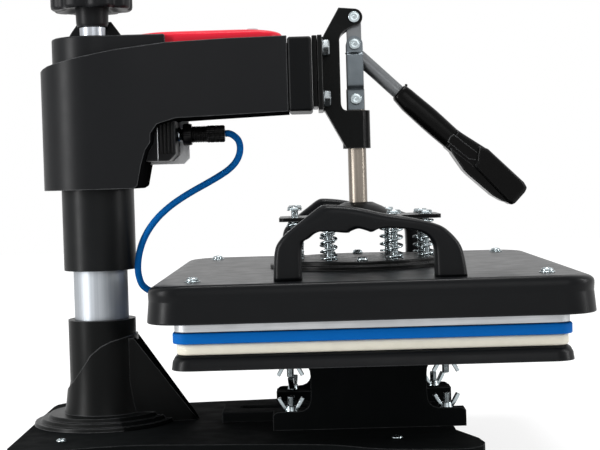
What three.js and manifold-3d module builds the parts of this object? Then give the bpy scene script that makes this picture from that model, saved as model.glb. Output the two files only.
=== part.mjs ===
// A swing-away combo heat press, in millimetres: +Z up, +X towards the lever, +Y away from the user.
// A sprung heating head hangs from a toggle lever at the end of an arm that swings round a post.
import * as THREE from "three";
import { mergeVertices } from "three/addons/utils/BufferGeometryUtils.js";
import Module from "manifold-3d";

const wasm = await Module();
wasm.setup();

// Fits and walls that every piece shares.
const clearance = 0.3;
const overrun = 2;
const mergeDistance = 1e-4;
const shellWall = 3;
const sheetThickness = 3;

// The stack of heights, from the bench up to the lever's top pivot.
const footHeight = 12;
const skirtHeight = 28;
const pedestalHeight = 67.8;
const lowerPlatenHeight = 11.5;
const foamHeight = 8.8;
const siliconeHeight = 8.5;
const platenReveal = 7.2;
const coverHeight = 30;
const discHeight = 7.4;
const springHeight = 33.8;
const springPlateThickness = 3.4;
const hubHeight = 11.6;
const shaftExposed = 47.7;
const bossHeight = 33.5;
const pivotRise = 10;
const beamRise = 20.8;
const linkLength = 48.3;
const crankLength = 23.3;
const baseTop = footHeight + skirtHeight;
const bedBottom = baseTop + pedestalHeight;
const bedTop = bedBottom + lowerPlatenHeight;
const foamTop = bedTop + foamHeight;
const padTop = foamTop + siliconeHeight;
const coverBottom = padTop + platenReveal;
const coverTop = coverBottom + coverHeight;
const discTop = coverTop + discHeight;
const springPlateBottom = discTop + springHeight;
const springPlateTop = springPlateBottom + springPlateThickness;
const hubTop = springPlateTop + hubHeight;
const bossBottom = hubTop + shaftExposed;
const bossTop = bossBottom + bossHeight;
const lowPivotZ = bossTop + pivotRise;
const middlePivotZ = lowPivotZ + linkLength;
const topPivotZ = middlePivotZ + crankLength;
const beamZ = lowPivotZ + beamRise;

// Places across the machine, from the platen's centre.
const postToPlaten = 234;
const shaftOffset = 2;
const postX = -postToPlaten;
const shaftX = -shaftOffset;

const base = {
  leftReach: 63,
  rightReach: 89.8,
  rearShift: 14,
  leftHalf: 134,
  waistHalf: 103,
  lobeHalf: 162,
  cornerRadius: 26,
  wall: 2,
};
const foot = { topRadius: 16, bottomRadius: 13, fromLeft: 32, fromRight: 44, inFromLeft: 31, inFromLobe: 36 };
const socket = {
  height: 92.8,
  radius: 30,
  floor: 4,
  rimRadius: 63,
  ringStep: 6.5,
  ringHeight: 3.2,
  skirtRadius: 36,
  toeReach: 84,
  toeHalf: 9,
  finHalf: 19,
  bootRadius: 31.8,
  ridgeLow: 37.5,
  ridgeHigh: 79,
};
const post = { radius: 24, wall: 3, nutHeight: 20, belowBeam: 2 };
const screw = { radius: 8, collarRadius: 11.5, collarHeight: 10.2, length: 125 };
const bush = { height: 90, fromSleeveEnd: 20 };
const rail = { width: 57, height: 9.6, leftReach: 127.5, rightReach: 42, slotWidth: 16, slotInset: 14.5, wall: 2.5 };
const pedestal = {
  frontY: -76,
  rearY: 80,
  bodyHalf: 49,
  footHalf: 81.5,
  lip: 16,
  channelDepth: 24,
  channelHeight: 13.7,
  headHeight: 9.9,
  fillet: 12,
  fixingX: 66,
};
const stud = { radius: 3, standsProud: 13.4 };
const wingNut = { height: 12.4, bodyHeight: 6.6, bodyRadius: 5.4, span: 24, wingThickness: 2.6, tipWidth: 3 };
const lowerPlaten = { width: 311, depth: 387, corner: 16, bevel: 6 };
const foam = { width: 303, depth: 378, corner: 12 };
const silicone = { width: 308, depth: 383, corner: 14 };
const platen = { width: 305, depth: 380, corner: 12, thickness: 14, hangerRadius: 9, hangerX: 90, hangerY: 120 };
const cover = {
  sideOverhang: 21.5,
  endOverhang: 10,
  corner: 28,
  topCorner: 22,
  sideShoulder: 13,
  endShoulder: 5,
  shoulderHeight: 13,
  flare: 1.5,
};
const coverWidth = platen.width + 2 * cover.sideOverhang;
const coverDepth = platen.depth + 2 * cover.endOverhang;
const gland = { radius: 6, length: 12, aboveBottom: 12.2 };
const handle = {
  length: 150,
  height: 57.4,
  thickness: 24,
  fromEdge: 29,
  innerHalf: 51.5,
  innerHeight: 37.3,
};
const disc = { radius: 80, upperRadius: 74, layer: 3.6 };
const springBolt = { radius: 3, headRadius: 6, headHeight: 3.4, farX: 57, nearX: 28, liftLeft: 6 };
const spring = { outerRadius: 7.5, wireRadius: 1, curlCount: 5 };
const springPlate = { reach: 70.6, armWidth: 70, holeRadius: 3.8, hubRadius: 31, hubNeck: 12.5 };
const shaft = { radius: 8.15, flatHalf: 6.9, topReach: 9, flatBelow: 12.6 };
const leverHead = {
  flangeFace: 29,
  flangeThickness: 4,
  flangeHalf: 32,
  flangeHeight: 65,
  flangeAboveBeam: 0.4,
  webLeft: 27.5,
  webRight: 13.3,
  webHalf: 13,
  earRadius: 7.6,
  bossRadius: 12.3,
  toeLeft: 9.5,
  slotBack: 2.4,
};
const armFlange = { thickness: 4.5, half: 30, height: 62 };
const sleeve = { radius: 32, wall: 4, bottomToBeam: 165.5, capThickness: 6.2, topToBeam: 36.2 };
const beam = { half: 22 };
const housing = {
  radius: 47,
  endHalf: 36,
  bottomToBeam: 94.2,
  undersideToBeam: 34.4,
  endDrop: 31.2,
  leftRise: 10.6,
  endRise: 34.4,
  notchStart: 37,
  notchEnd: 75,
};
const endCap = { length: 21, bevel: 2, lowered: 1 };
const topCover = { radius: 36.5, height: 32, stripHalf: 33, rightReach: 67, top: 39.5, flange: 6, bevel: 2 };
const hood = { radius: 31, topRadius: 20.5, height: 16.5, behind: 14 };
const panel = { width: 135, depth: 58, corner: 22, bottom: 24, edge: 35, crown: 7.5, fromEnd: 4, pocket: 9 };
const key = { radius: 5, height: 7, proud: 1.5, travel: 1.2, spacing: 15, fromPanelEnd: 26 };
const controlBox = { leftReach: 38, rightReach: 72.6, bottomToBeam: 70.8, half: 22, chamfer: 6 };
const boxPlate = { rightReach: 81, bottomExtra: 2.4, thickness: 2.5, chamfer: 5 };
const rocker = { radius: 7.5, length: 13, faceDrop: 3, boxWidth: 21, boxDepth: 14, boxHeight: 24, fromEdge: 13.5 };
const connector = {
  belowBeam: 47.6,
  flangeRadius: 9.7,
  flangeLength: 8,
  bodyRadius: 7.1,
  nutRadius: 7.5,
  bodyLength: 16,
  nutLength: 13,
  stem: 5,
};
const lead = { radius: 3 };
const knob = { radius: 36.5, lobeDepth: 3, height: 29.6, neckRadius: 14, neckHeight: 14.4, lobeCount: 8, bevel: 3 };
const pointsPerLobe = 6;
const lever = { angleDegrees: 43.5, drop: 4.8, barHalf: 7, tubeRadius: 6.4, barReach: 20, gripStart: 57 };
const grip = { length: 143, tubeInside: 50, endHalf: 8.3, neckWidth: 11, lift: 5.7 };
const link = { half: 7.3, thickness: 3, jog: 2, bend: 4, footBelow: 9.4 };
const pivot = { radius: 3.2, headRadius: 4.6, headHeight: 2.8 };

// Shapes given as shares of the sizes above.
const housingTopShares = [
  [0, 0], [0.02, 0.07], [0.05, 0.16], [0.193, 0.42], [0.314, 0.62], [0.526, 0.86], [0.76, 0.96], [1, 1],
];
const housingNotchShares = [
  [0, 0], [0.1, 0.04], [0.2, 0.34], [0.3, 0.55], [0.42, 0.66], [0.43, 0.79], [0.58, 0.92], [1, 1],
];
const housingWidthShares = [[0.2, 0.97], [0.45, 0.55], [0.7, 0.16], [1, 0]];
const baseSideShares = [[0.12, 0.32], [0.26, 0.1], [0.4, 0.18], [0.54, 0.28], [0.68, 0.46], [0.79, 0.86]];
const crownShares = [[1, 0], [0.985, 0.36], [0.93, 0.62], [0.8, 0.83], [0.55, 0.95], [0.2, 1]];
const coverShoulderShares = [
  [0, 0, 0], [0.1, 0, 0.4], [0.24, 0.04, 0.64], [0.42, 0.2, 0.82], [0.66, 0.5, 0.94], [1, 1, 1],
];
const bootRidgeShares = [
  [-1.2, 0.34], [-0.8, 0.5], [-0.5, 0.65], [-0.22, 0.8], [0.08, 0.89], [0.36, 0.94], [1, 1],
];
const handleOuterShares = [
  [-1, 0], [-0.98, 0.39], [-0.915, 0.557], [-0.797, 0.696], [-0.61, 0.88], [-0.503, 0.978], [-0.41, 1],
  [-0.155, 0.963], [0.145, 0.87], [0.447, 0.795], [0.656, 0.723], [0.79, 0.636], [0.923, 0.443],
  [0.972, 0.255], [1, 0],
];
const handleInnerShares = [
  [0.97, 0], [0.967, 0.45], [0.945, 0.687], [0.843, 0.87], [0.645, 0.977], [0.16, 1.014], [0.04, 0.97],
  [-0.065, 1.0], [-0.15, 1.012], [-0.235, 1.0], [-0.347, 0.97], [-0.722, 0.99], [-0.9, 0.864],
  [-1.01, 0.704], [-1.025, 0],
];
const gripShares = [
  [0, 0.84, 0.9, 0], [0.02, 1.02, 1, 0], [0.12, 1.13, 1.06, 0], [0.3, 1.17, 1.1, 0.01], [0.48, 1.1, 1.12, 0.05],
  [0.55, 1.26, 1.25, 0.02], [0.65, 1.62, 1.42, 0], [0.72, 1.72, 1.5, 0.1], [0.92, 1.68, 1.5, 0.1],
  [0.97, 1.5, 1.35, 0.1], [1, 0.95, 0.95, 0.1],
];

const paint = (color, roughness, metalness) => new THREE.MeshStandardMaterial({ color, roughness, metalness });
const finish = {
  powderCoat: paint(0x1e2022, 0.5, 0.1),
  casting: paint(0x151617, 0.4, 0.2),
  blackPlastic: paint(0x1c1d1f, 0.45, 0),
  redPlastic: paint(0xc41c33, 0.3, 0),
  keyPlastic: paint(0xd8dadc, 0.5, 0),
  rubber: paint(0x121212, 0.9, 0),
  foam: paint(0xdcd8c8, 0.9, 0),
  silicone: paint(0x0060ae, 0.6, 0),
  leadJacket: paint(0x0a4f9e, 0.5, 0),
  aluminium: paint(0xb9bcc0, 0.35, 0.9),
  chrome: paint(0xc4cad4, 0.15, 1),
  nickel: paint(0xa79c90, 0.25, 1),
  zinc: paint(0xb8c4ca, 0.3, 0.9),
  springSteel: paint(0xa9b4b8, 0.3, 0.9),
  greyPaint: paint(0x83878c, 0.4, 0.5),
};

// A closed three.js geometry as a solid, facing out whichever way its outline was drawn.
function solid(geometry) {
  const bare = geometry.clone();
  for (const name of Object.keys(bare.attributes)) {
    if (name !== "position") bare.deleteAttribute(name);
  }
  const merged = mergeVertices(bare, mergeDistance);
  const vertProperties = merged.attributes.position.array;
  const corners = [];
  for (let i = 0; i < merged.index.count; i += 3) {
    const [a, b, c] = [0, 1, 2].map((k) => merged.index.getX(i + k));
    if (a !== b && b !== c && a !== c) corners.push(a, b, c);
  }
  const build = (triVerts) => new wasm.Manifold(new wasm.Mesh({ numProp: 3, vertProperties, triVerts }));
  const made = build(new Uint32Array(corners));
  return made.volume() < 0 ? build(new Uint32Array(corners.reverse())) : made;
}

const joined = (...pieces) => pieces.map(asSolid).reduce((a, b) => a.add(b));
const cut = (piece, ...tools) => tools.reduce((left, tool) => left.subtract(asSolid(tool)), asSolid(piece));
const common = (first, second) => asSolid(first).intersect(asSolid(second));
const asSolid = (piece) => (piece.isBufferGeometry ? solid(piece) : piece);

function geometryOf(piece) {
  const { vertProperties, triVerts, numProp } = piece.getMesh();
  const geometry = new THREE.BufferGeometry();
  const places = new Float32Array((vertProperties.length / numProp) * 3);
  for (let i = 0; i < places.length / 3; i++) {
    places.set(vertProperties.subarray(i * numProp, i * numProp + 3), i * 3);
  }
  geometry.setAttribute("position", new THREE.BufferAttribute(places, 3));
  geometry.setIndex(new THREE.BufferAttribute(triVerts, 1));
  geometry.computeVertexNormals();
  return geometry;
}

// Outlines.
const outline = (points) => new THREE.Shape(points.map(([x, y]) => new THREE.Vector2(x, y)));

function roundedRectangle(width, height, radius) {
  const [x, y] = [width / 2, height / 2];
  const shape = new THREE.Shape();
  shape.absarc(x - radius, -y + radius, radius, -Math.PI / 2, 0);
  shape.absarc(x - radius, y - radius, radius, 0, Math.PI / 2);
  shape.absarc(-x + radius, y - radius, radius, Math.PI / 2, Math.PI);
  shape.absarc(-x + radius, -y + radius, radius, Math.PI, 1.5 * Math.PI);
  return shape;
}

// A bar with round ends, from its first centre to its second.
function stadium(x0, y0, x1, y1, radius) {
  const angle = Math.atan2(y1 - y0, x1 - x0);
  const shape = new THREE.Shape();
  shape.absarc(x1, y1, radius, angle - Math.PI / 2, angle + Math.PI / 2);
  shape.absarc(x0, y0, radius, angle + Math.PI / 2, angle + 1.5 * Math.PI);
  return shape;
}

// Prisms: an outline drawn on the bench, or standing, seen from the front or from the side.
function extruded(shape, depth, { bevel = 0, curveSegments = 4, bevelSegments = 2 } = {}) {
  const geometry = new THREE.ExtrudeGeometry(shape, {
    depth: depth - 2 * bevel,
    bevelEnabled: bevel > 0,
    bevelThickness: bevel,
    bevelSize: bevel,
    bevelOffset: -bevel,
    bevelSegments,
    curveSegments,
  });
  return geometry.translate(0, 0, bevel);
}

const lying = (shape, bottom, height, options) => extruded(shape, height, options).translate(0, 0, bottom);

const standing = (shape, y0, y1, options) =>
  extruded(shape, y1 - y0, options)
    .rotateX(Math.PI / 2)
    .translate(0, y1, 0);

function sideways(shape, x0, x1, options) {
  const turn = new THREE.Matrix4().makeBasis(
    new THREE.Vector3(0, 1, 0),
    new THREE.Vector3(0, 0, 1),
    new THREE.Vector3(1, 0, 0),
  );
  return extruded(shape, x1 - x0, options).applyMatrix4(turn).translate(x0, 0, 0);
}

// A box from its lowest corner to its highest.
function block([x0, y0, z0], [x1, y1, z1]) {
  return new THREE.BoxGeometry(x1 - x0, y1 - y0, z1 - z0).translate((x0 + x1) / 2, (y0 + y1) / 2, (z0 + z1) / 2);
}

// Round pieces: a profile of radius and height turned about an upright axis, and plain cylinders.
const turned = (profile, segments = 28) =>
  new THREE.LatheGeometry(
    profile.map(([r, z]) => new THREE.Vector2(r, z)),
    segments,
  ).rotateX(Math.PI / 2);

const upright = (radius, z0, z1, segments = 28) =>
  turned([[0, z0], [radius, z0], [radius, z1], [0, z1]], segments);

const alongY = (radius, y0, y1, segments = 24) => upright(radius, y0, y1, segments).rotateX(-Math.PI / 2);

const alongX = (radius, x0, x1, segments = 24) => upright(radius, x0, x1, segments).rotateY(Math.PI / 2);

// A skin over rings of equal point counts, closed at both ends round its middle points.
function lofted(rings) {
  const count = rings[0].length;
  const points = rings.flat();
  const faces = [];
  for (let k = 0; k + 1 < rings.length; k++) {
    for (let i = 0; i < count; i++) {
      const [a, b] = [k * count + i, k * count + ((i + 1) % count)];
      faces.push(a, b, b + count, a, b + count, a + count);
    }
  }
  for (const [k, flip] of [[0, true], [rings.length - 1, false]]) {
    const middle = rings[k].reduce((sum, p) => sum.clone().add(p)).divideScalar(count);
    points.push(middle);
    for (let i = 0; i < count; i++) {
      const [a, b] = [k * count + i, k * count + ((i + 1) % count)];
      faces.push(points.length - 1, ...(flip ? [b, a] : [a, b]));
    }
  }
  const geometry = new THREE.BufferGeometry().setFromPoints(points);
  geometry.setIndex(faces);
  return geometry;
}

// A level ring of a rounded rectangle.
const levelRing = (width, depth, corner, z, cornerSteps = 3) =>
  roundedRectangle(width, depth, corner)
    .getPoints(cornerSteps)
    .filter((p, i, all) => p.distanceTo(all.at(i - 1)) > mergeDistance)
    .map((p) => new THREE.Vector3(p.x, p.y, z));

const press = new THREE.Group();
function add(name, piece, material, place = [0, 0, 0]) {
  const mesh = new THREE.Mesh(geometryOf(asSolid(piece)), material);
  mesh.name = name;
  mesh.position.set(...place);
  press.add(mesh);
}

// Base: a pressed plate with a turned-down skirt, waisted at front and back.
function basePlan(inset) {
  const left = postX - base.leftReach + inset;
  const right = base.rightReach - inset;
  const length = right - left;
  const half = (share) => base.waistHalf + share * (base.lobeHalf - base.waistHalf) - inset;
  const side = baseSideShares.map(([along, out]) => [left + along * length, half(out)]);
  const corner = base.cornerRadius - inset;
  const lobe = base.cornerRadius + base.wall;
  const shape = new THREE.Shape();
  const leftHalf = base.leftHalf - inset;
  const lobeHalf = base.lobeHalf - inset;
  for (const sign of [-1, 1]) {
    const places = side.map(([x, y]) => new THREE.Vector2(x, sign * y));
    const leftCorner = new THREE.Vector2(left + corner, sign * leftHalf);
    const rightCorner = new THREE.Vector2(right - lobe, sign * lobeHalf);
    if (sign < 0) {
      shape.moveTo(left, -leftHalf + corner);
      shape.quadraticCurveTo(left, -leftHalf, leftCorner.x, leftCorner.y);
      shape.splineThru([...places, rightCorner]);
      shape.quadraticCurveTo(right + corner / 4, -lobeHalf, right - corner / 6, -lobeHalf + 1.6 * lobe);
      shape.lineTo(right - lobe / 1.5, -base.waistHalf + corner);
    } else {
      shape.lineTo(right - lobe / 1.5, base.waistHalf - corner);
      shape.lineTo(right - corner / 2, lobeHalf - 1.6 * lobe);
      shape.quadraticCurveTo(right - corner / 3, lobeHalf, rightCorner.x, rightCorner.y);
      shape.splineThru([...places.reverse(), leftCorner]);
      shape.quadraticCurveTo(left, leftHalf, left, leftHalf - corner);
    }
  }
  return shape;
}

const fixings = [
  ["front_left", -1, -1],
  ["front_right", 1, -1],
  ["rear_left", -1, 1],
  ["rear_right", 1, 1],
].map(([name, side, depth]) => ({
  name,
  x: side * pedestal.fixingX,
  y: (depth < 0 ? pedestal.frontY : pedestal.rearY) - depth * (pedestal.channelDepth / 2),
}));

const channelTop = baseTop + pedestal.channelHeight;
const headBottom = bedBottom - pedestal.headHeight;
const baseStudTop = channelTop + clearance + stud.standsProud;
const bedStudBottom = headBottom - clearance - stud.standsProud;

const plate = cut(
  lying(basePlan(0), footHeight, skirtHeight, { curveSegments: 4 }),
  lying(basePlan(base.wall), footHeight - overrun, skirtHeight + overrun - base.wall, { curveSegments: 4 }),
).translate([0, -base.rearShift, 0]);
const baseStuds = fixings.map(({ x, y }) =>
  upright(stud.radius, baseTop - base.wall, baseStudTop, 12).translate(x, y, 0),
);
add("base_plate", joined(plate, ...baseStuds), finish.powderCoat);

const leftFootY = base.leftHalf - foot.inFromLeft;
const rightFootY = base.lobeHalf - foot.inFromLobe;
const rubberFoot = turned([
  [0, 0],
  [foot.bottomRadius, 0],
  [foot.topRadius, footHeight],
  [foot.topRadius, baseTop - base.wall - clearance],
  [0, baseTop - base.wall - clearance],
], 20);
for (const [name, x, y] of [
  ["foot_front_left", postX - base.leftReach + foot.fromLeft, -leftFootY],
  ["foot_front_right", base.rightReach - foot.fromRight, -rightFootY],
  ["foot_rear_left", postX - base.leftReach + foot.fromLeft, leftFootY],
  ["foot_rear_right", base.rightReach - foot.fromRight, rightFootY],
]) {
  add(name, rubberFoot, finish.rubber, [x, y - base.rearShift, 0]);
}

// Post socket: a stepped round foot, a tube, and a boot that runs down to a toe on the platen's side.
const socketTop = baseTop + socket.height;
const socketFloor = baseTop + clearance;
const socketProfile = [[0, socketFloor], [socket.rimRadius, socketFloor]];
for (let step = 0; step < 3; step++) {
  const radius = socket.rimRadius - step * socket.ringStep;
  const height = socketFloor + (step + 1) * socket.ringHeight;
  socketProfile.push([radius - socket.ringHeight / 3, height]);
  socketProfile.push([radius - socket.ringStep + socket.ringHeight / 4, height]);
}
socketProfile.push([socket.skirtRadius, socketProfile.at(-1)[1] + clearance]);
socketProfile.push([socket.radius, baseTop + socket.ridgeLow], [socket.radius, socketTop], [0, socketTop]);
const ridgeTop = baseTop + socket.ridgeHigh;
const bootSide = outline([
  [socket.skirtRadius, socketFloor],
  [socket.skirtRadius, ridgeTop],
  ...bootRidgeShares.map(([x, z]) => [x * socket.radius, baseTop + z * socket.ridgeHigh]).reverse(),
  [-socket.skirtRadius - overrun, socketFloor],
]);
const bootCone = turned([
  [0, socketFloor],
  [socket.skirtRadius, socketFloor + socket.ringHeight],
  [socket.bootRadius, baseTop + socket.ridgeLow],
  [socket.bootRadius, ridgeTop + overrun],
  [0, ridgeTop + overrun],
], 32);
const finPlan = new THREE.Shape();
finPlan.moveTo(0, socket.finHalf);
finPlan.lineTo(0, -socket.finHalf);
finPlan.lineTo(socket.radius, -socket.finHalf);
finPlan.absarc(socket.toeReach - socket.toeHalf, 0, socket.toeHalf, -Math.PI / 2 + 0.15, Math.PI / 2 - 0.15);
finPlan.lineTo(socket.radius, socket.finHalf);
const finSide = outline([
  [0, socketFloor],
  [socket.toeReach, socketFloor],
  [socket.radius, ridgeTop - socket.ringHeight],
  [0, ridgeTop - socket.ringHeight],
]);
const boot = joined(
  common(bootCone, standing(bootSide, -socket.rimRadius, socket.rimRadius)),
  common(
    lying(finPlan, socketFloor, socket.height, { curveSegments: 6 }),
    standing(finSide, -socket.rimRadius, socket.rimRadius),
  ),
);
const postBottom = socketFloor + socket.floor;
const socketBody = cut(
  joined(turned(socketProfile, 32), boot),
  upright(post.radius + clearance, postBottom - clearance, socketTop + overrun, 32),
);
add("post_socket", socketBody, finish.casting, [postX, 0, 0]);

// Post tube, with the nut of the pressure screw closing its top.
const postTop = beamZ - post.belowBeam;
const boreRadius = screw.radius + clearance;
const postInner = post.radius - post.wall;
const tube = turned([
  [postInner, postBottom],
  [post.radius, postBottom],
  [post.radius, postTop],
  [boreRadius, postTop],
  [boreRadius, postTop - post.nutHeight],
  [postInner, postTop - post.nutHeight],
  [postInner, postBottom],
], 40);
add("post_tube", tube, finish.chrome, [postX, 0, 0]);

// Slotted rail: a hat section along the middle of the base.
const railBottom = baseTop + clearance;
const railTop = baseTop + rail.height;
const railBody = cut(
  block([-rail.leftReach, -rail.width / 2, railBottom], [rail.rightReach, rail.width / 2, railTop]),
  block(
    [-rail.leftReach + rail.wall, rail.wall - rail.width / 2, railBottom - overrun],
    [rail.rightReach - rail.wall, rail.width / 2 - rail.wall, railTop - rail.wall],
  ),
  lying(
    stadium(
      -rail.leftReach + rail.slotInset + rail.slotWidth / 2, 0,
      rail.rightReach - rail.slotInset - rail.slotWidth / 2, 0,
      rail.slotWidth / 2,
    ),
    railBottom, rail.height + overrun,
  ),
);
add("slotted_rail", railBody, finish.powderCoat);

// Pedestal: two waisted plates under a top, each on a channel foot and under a channel head.
function pedestalFace(lowHeight, highBottom) {
  const { bodyHalf, footHalf, fillet } = pedestal;
  const low = lowHeight - fillet / 2;
  const shape = new THREE.Shape();
  const bottom = baseTop + clearance;
  const top = bedBottom - clearance;
  shape.moveTo(-footHalf, bottom);
  shape.lineTo(footHalf, bottom);
  shape.lineTo(footHalf, low);
  shape.quadraticCurveTo(footHalf, lowHeight, footHalf - fillet / 2, lowHeight);
  shape.lineTo(bodyHalf + fillet, lowHeight);
  shape.quadraticCurveTo(bodyHalf, lowHeight, bodyHalf, lowHeight + fillet);
  shape.lineTo(bodyHalf, highBottom - fillet);
  shape.quadraticCurveTo(bodyHalf, highBottom, bodyHalf + fillet, highBottom);
  shape.lineTo(footHalf, highBottom);
  shape.lineTo(footHalf, top);
  shape.lineTo(-footHalf, top);
  shape.lineTo(-footHalf, highBottom);
  shape.lineTo(-bodyHalf - fillet, highBottom);
  shape.quadraticCurveTo(-bodyHalf, highBottom, -bodyHalf, highBottom - fillet);
  shape.lineTo(-bodyHalf, lowHeight + fillet);
  shape.quadraticCurveTo(-bodyHalf, lowHeight, -bodyHalf - fillet, lowHeight);
  shape.lineTo(-footHalf + fillet / 2, lowHeight);
  shape.quadraticCurveTo(-footHalf, lowHeight, -footHalf, low);
  return shape;
}

function channel(y0, y1, bottom, top, webAtTop) {
  const [a, b] = [Math.min(y0, y1), Math.max(y0, y1)];
  const [half, t] = [pedestal.footHalf, sheetThickness];
  const hollow = webAtTop
    ? block([-half - overrun, a + t, bottom - overrun], [half + overrun, b - t, top - t])
    : block([-half - overrun, a + t, bottom + t], [half + overrun, b - t, top + overrun]);
  return cut(block([-half, a, bottom], [half, b, top]), hollow);
}

const pedestalTop = bedBottom - clearance;
const pedestalBottom = baseTop + clearance;
const pedestalParts = [];
for (const [faceY, inward] of [[pedestal.frontY, 1], [pedestal.rearY, -1]]) {
  const inner = faceY + inward * sheetThickness;
  const channelEnd = faceY + inward * pedestal.channelDepth;
  pedestalParts.push(
    standing(
      pedestalFace(baseTop + pedestal.lip, headBottom),
      Math.min(faceY, inner), Math.max(faceY, inner), { curveSegments: 5 },
    ),
    channel(faceY, channelEnd, pedestalBottom, channelTop, true),
    channel(faceY, channelEnd, headBottom, pedestalTop, false),
  );
}
pedestalParts.push(
  block(
    [-pedestal.bodyHalf, pedestal.frontY + sheetThickness / 2, pedestalTop - sheetThickness],
    [pedestal.bodyHalf, pedestal.rearY - sheetThickness / 2, pedestalTop],
  ),
);
const fixingHoles = fixings.map(({ x, y }) =>
  upright(stud.radius + clearance, pedestalBottom - overrun, pedestalTop + overrun, 12).translate(x, y, 0),
);
add("pedestal", cut(joined(...pedestalParts), ...fixingHoles), finish.powderCoat);

// Lower platen with its studs, and the two pads on it.
const platenRings = [
  [0, 0], [0.55, 0.15], [0.85, 0.45], [1, 1],
].map(([rise, inset]) =>
  levelRing(
    lowerPlaten.width - 2 * inset * lowerPlaten.bevel,
    lowerPlaten.depth - 2 * inset * lowerPlaten.bevel,
    lowerPlaten.corner - inset * lowerPlaten.bevel / 2,
    bedBottom + rise * lowerPlatenHeight,
  ),
);
const bedStuds = fixings.map(({ x, y }) =>
  upright(stud.radius, bedStudBottom, bedBottom + overrun, 12).translate(x, y, 0),
);
add("lower_platen", joined(lofted(platenRings), ...bedStuds), finish.powderCoat);
add(
  "foam_pad",
  lying(roundedRectangle(foam.width, foam.depth, foam.corner), bedTop + clearance, foamHeight - clearance),
  finish.foam,
);
add(
  "silicone_pad",
  lying(
    roundedRectangle(silicone.width, silicone.depth, silicone.corner),
    foamTop + clearance, siliconeHeight - clearance,
  ),
  finish.silicone,
);

// Wing nuts: drawn with the seat at zero and the wings upwards.
const nutBore = stud.radius + clearance;
const nutBody = turned([
  [nutBore, 0],
  [wingNut.bodyRadius, 0],
  [wingNut.bodyRadius - clearance * 4, wingNut.bodyHeight],
  [nutBore, wingNut.bodyHeight],
  [nutBore, 0],
], 16);
const wing = outline([
  [nutBore + clearance, clearance],
  [wingNut.bodyRadius, clearance],
  [wingNut.span / 2, wingNut.height * 0.62],
  [wingNut.span / 2, wingNut.height],
  [wingNut.span / 2 - wingNut.tipWidth, wingNut.height],
  [nutBore + clearance, wingNut.bodyHeight],
]);
const oneWing = standing(wing, -wingNut.wingThickness / 2, wingNut.wingThickness / 2);
const nut = joined(nutBody, oneWing, oneWing.clone().rotateZ(Math.PI));
const hangingNut = joined(
  nutBody.clone().rotateX(Math.PI),
  oneWing.clone().rotateX(Math.PI),
  oneWing.clone().rotateZ(Math.PI).rotateX(Math.PI),
);
for (const { name, x, y } of fixings) {
  add("wing_nut_base_" + name, nut, finish.zinc, [x, y, channelTop + clearance]);
  add("wing_nut_bed_" + name, hangingNut, finish.zinc, [x, y, headBottom - clearance]);
}

// Sleeve and beam: one weldment, closed over the post by a cap that the pressure screw passes.
const sleeveBottom = beamZ - sleeve.bottomToBeam;
const sleeveTop = beamZ + sleeve.topToBeam;
const sleeveInner = sleeve.radius - sleeve.wall;
const sleeveTube = turned([
  [sleeveInner, sleeveBottom],
  [sleeve.radius, sleeveBottom],
  [sleeve.radius, sleeveTop],
  [boreRadius, sleeveTop],
  [boreRadius, sleeveTop - sleeve.capThickness],
  [sleeveInner, sleeveTop - sleeve.capThickness],
  [sleeveInner, sleeveBottom],
], 40);
const flangeRight = shaftX - leverHead.flangeFace - leverHead.flangeThickness - clearance;
const flangeLeft = flangeRight - armFlange.thickness;
const beamEnd = flangeLeft - clearance;
const beamBar = cut(
  block(
    [sleeveInner + clearance, -beam.half, beamZ - beam.half],
    [beamEnd - postX, beam.half, beamZ + beam.half],
  ),
  block(
    [sleeve.radius + sleeve.wall, shellWall - beam.half, beamZ - beam.half + shellWall],
    [beamEnd - postX + overrun, beam.half - shellWall, beamZ + beam.half - shellWall],
  ),
);
const frameBody = cut(
  joined(sleeveTube, beamBar),
  upright(sleeveInner, sleeveBottom - overrun, sleeveTop - sleeve.capThickness, 40),
);
add("arm_frame", frameBody, finish.powderCoat, [postX, 0, 0]);

const bushBottom = sleeveBottom + bush.fromSleeveEnd;
const bushInner = post.radius + clearance;
const bushOuter = sleeveInner - clearance;
add(
  "swing_bush",
  turned([
    [bushInner, bushBottom],
    [bushOuter, bushBottom],
    [bushOuter, bushBottom + bush.height],
    [bushInner, bushBottom + bush.height],
    [bushInner, bushBottom],
  ], 40),
  finish.nickel,
  [postX, 0, 0],
);

// Arm shell: round at the post, drawn in towards the end cap, with a notch that shows the control box.
const capRight = flangeLeft - clearance;
const capLeft = capRight - endCap.length;
const housingEnd = capLeft - clearance - postX;
function housingPlan(inset) {
  const radius = housing.radius - inset;
  const endHalf = housing.endHalf - inset;
  const side = housingWidthShares.map(([along, out]) => [along * housingEnd, endHalf + out * (radius - endHalf)]);
  const shape = new THREE.Shape();
  shape.moveTo(0, -radius);
  shape.splineThru(side.map(([x, y]) => new THREE.Vector2(x, -y)));
  shape.lineTo(housingEnd, endHalf);
  shape.splineThru([...side.slice(0, -1).reverse(), [0, radius]].map(([x, y]) => new THREE.Vector2(x, y)));
  shape.absarc(0, 0, radius, Math.PI / 2, 1.5 * Math.PI);
  return shape;
}

function housingSide(inset, rise) {
  const left = -housing.radius;
  const low = beamZ + housing.leftRise;
  const climb = housing.endRise - housing.leftRise;
  const bottom = beamZ - housing.bottomToBeam + inset;
  const underside = beamZ - housing.undersideToBeam + inset;
  const notch = housingNotchShares.map(([x, z]) => [
    housing.notchStart - inset + x * (housing.notchEnd - housing.notchStart),
    bottom + z * (underside - bottom),
  ]);
  const crest = housingTopShares.map(([x, z]) => [left + x * (housingEnd - left), low + z * climb + rise]);
  return outline([
    [left, bottom],
    ...notch,
    [housingEnd, beamZ - housing.endDrop + inset],
    ...crest.reverse(),
  ]);
}

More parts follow.
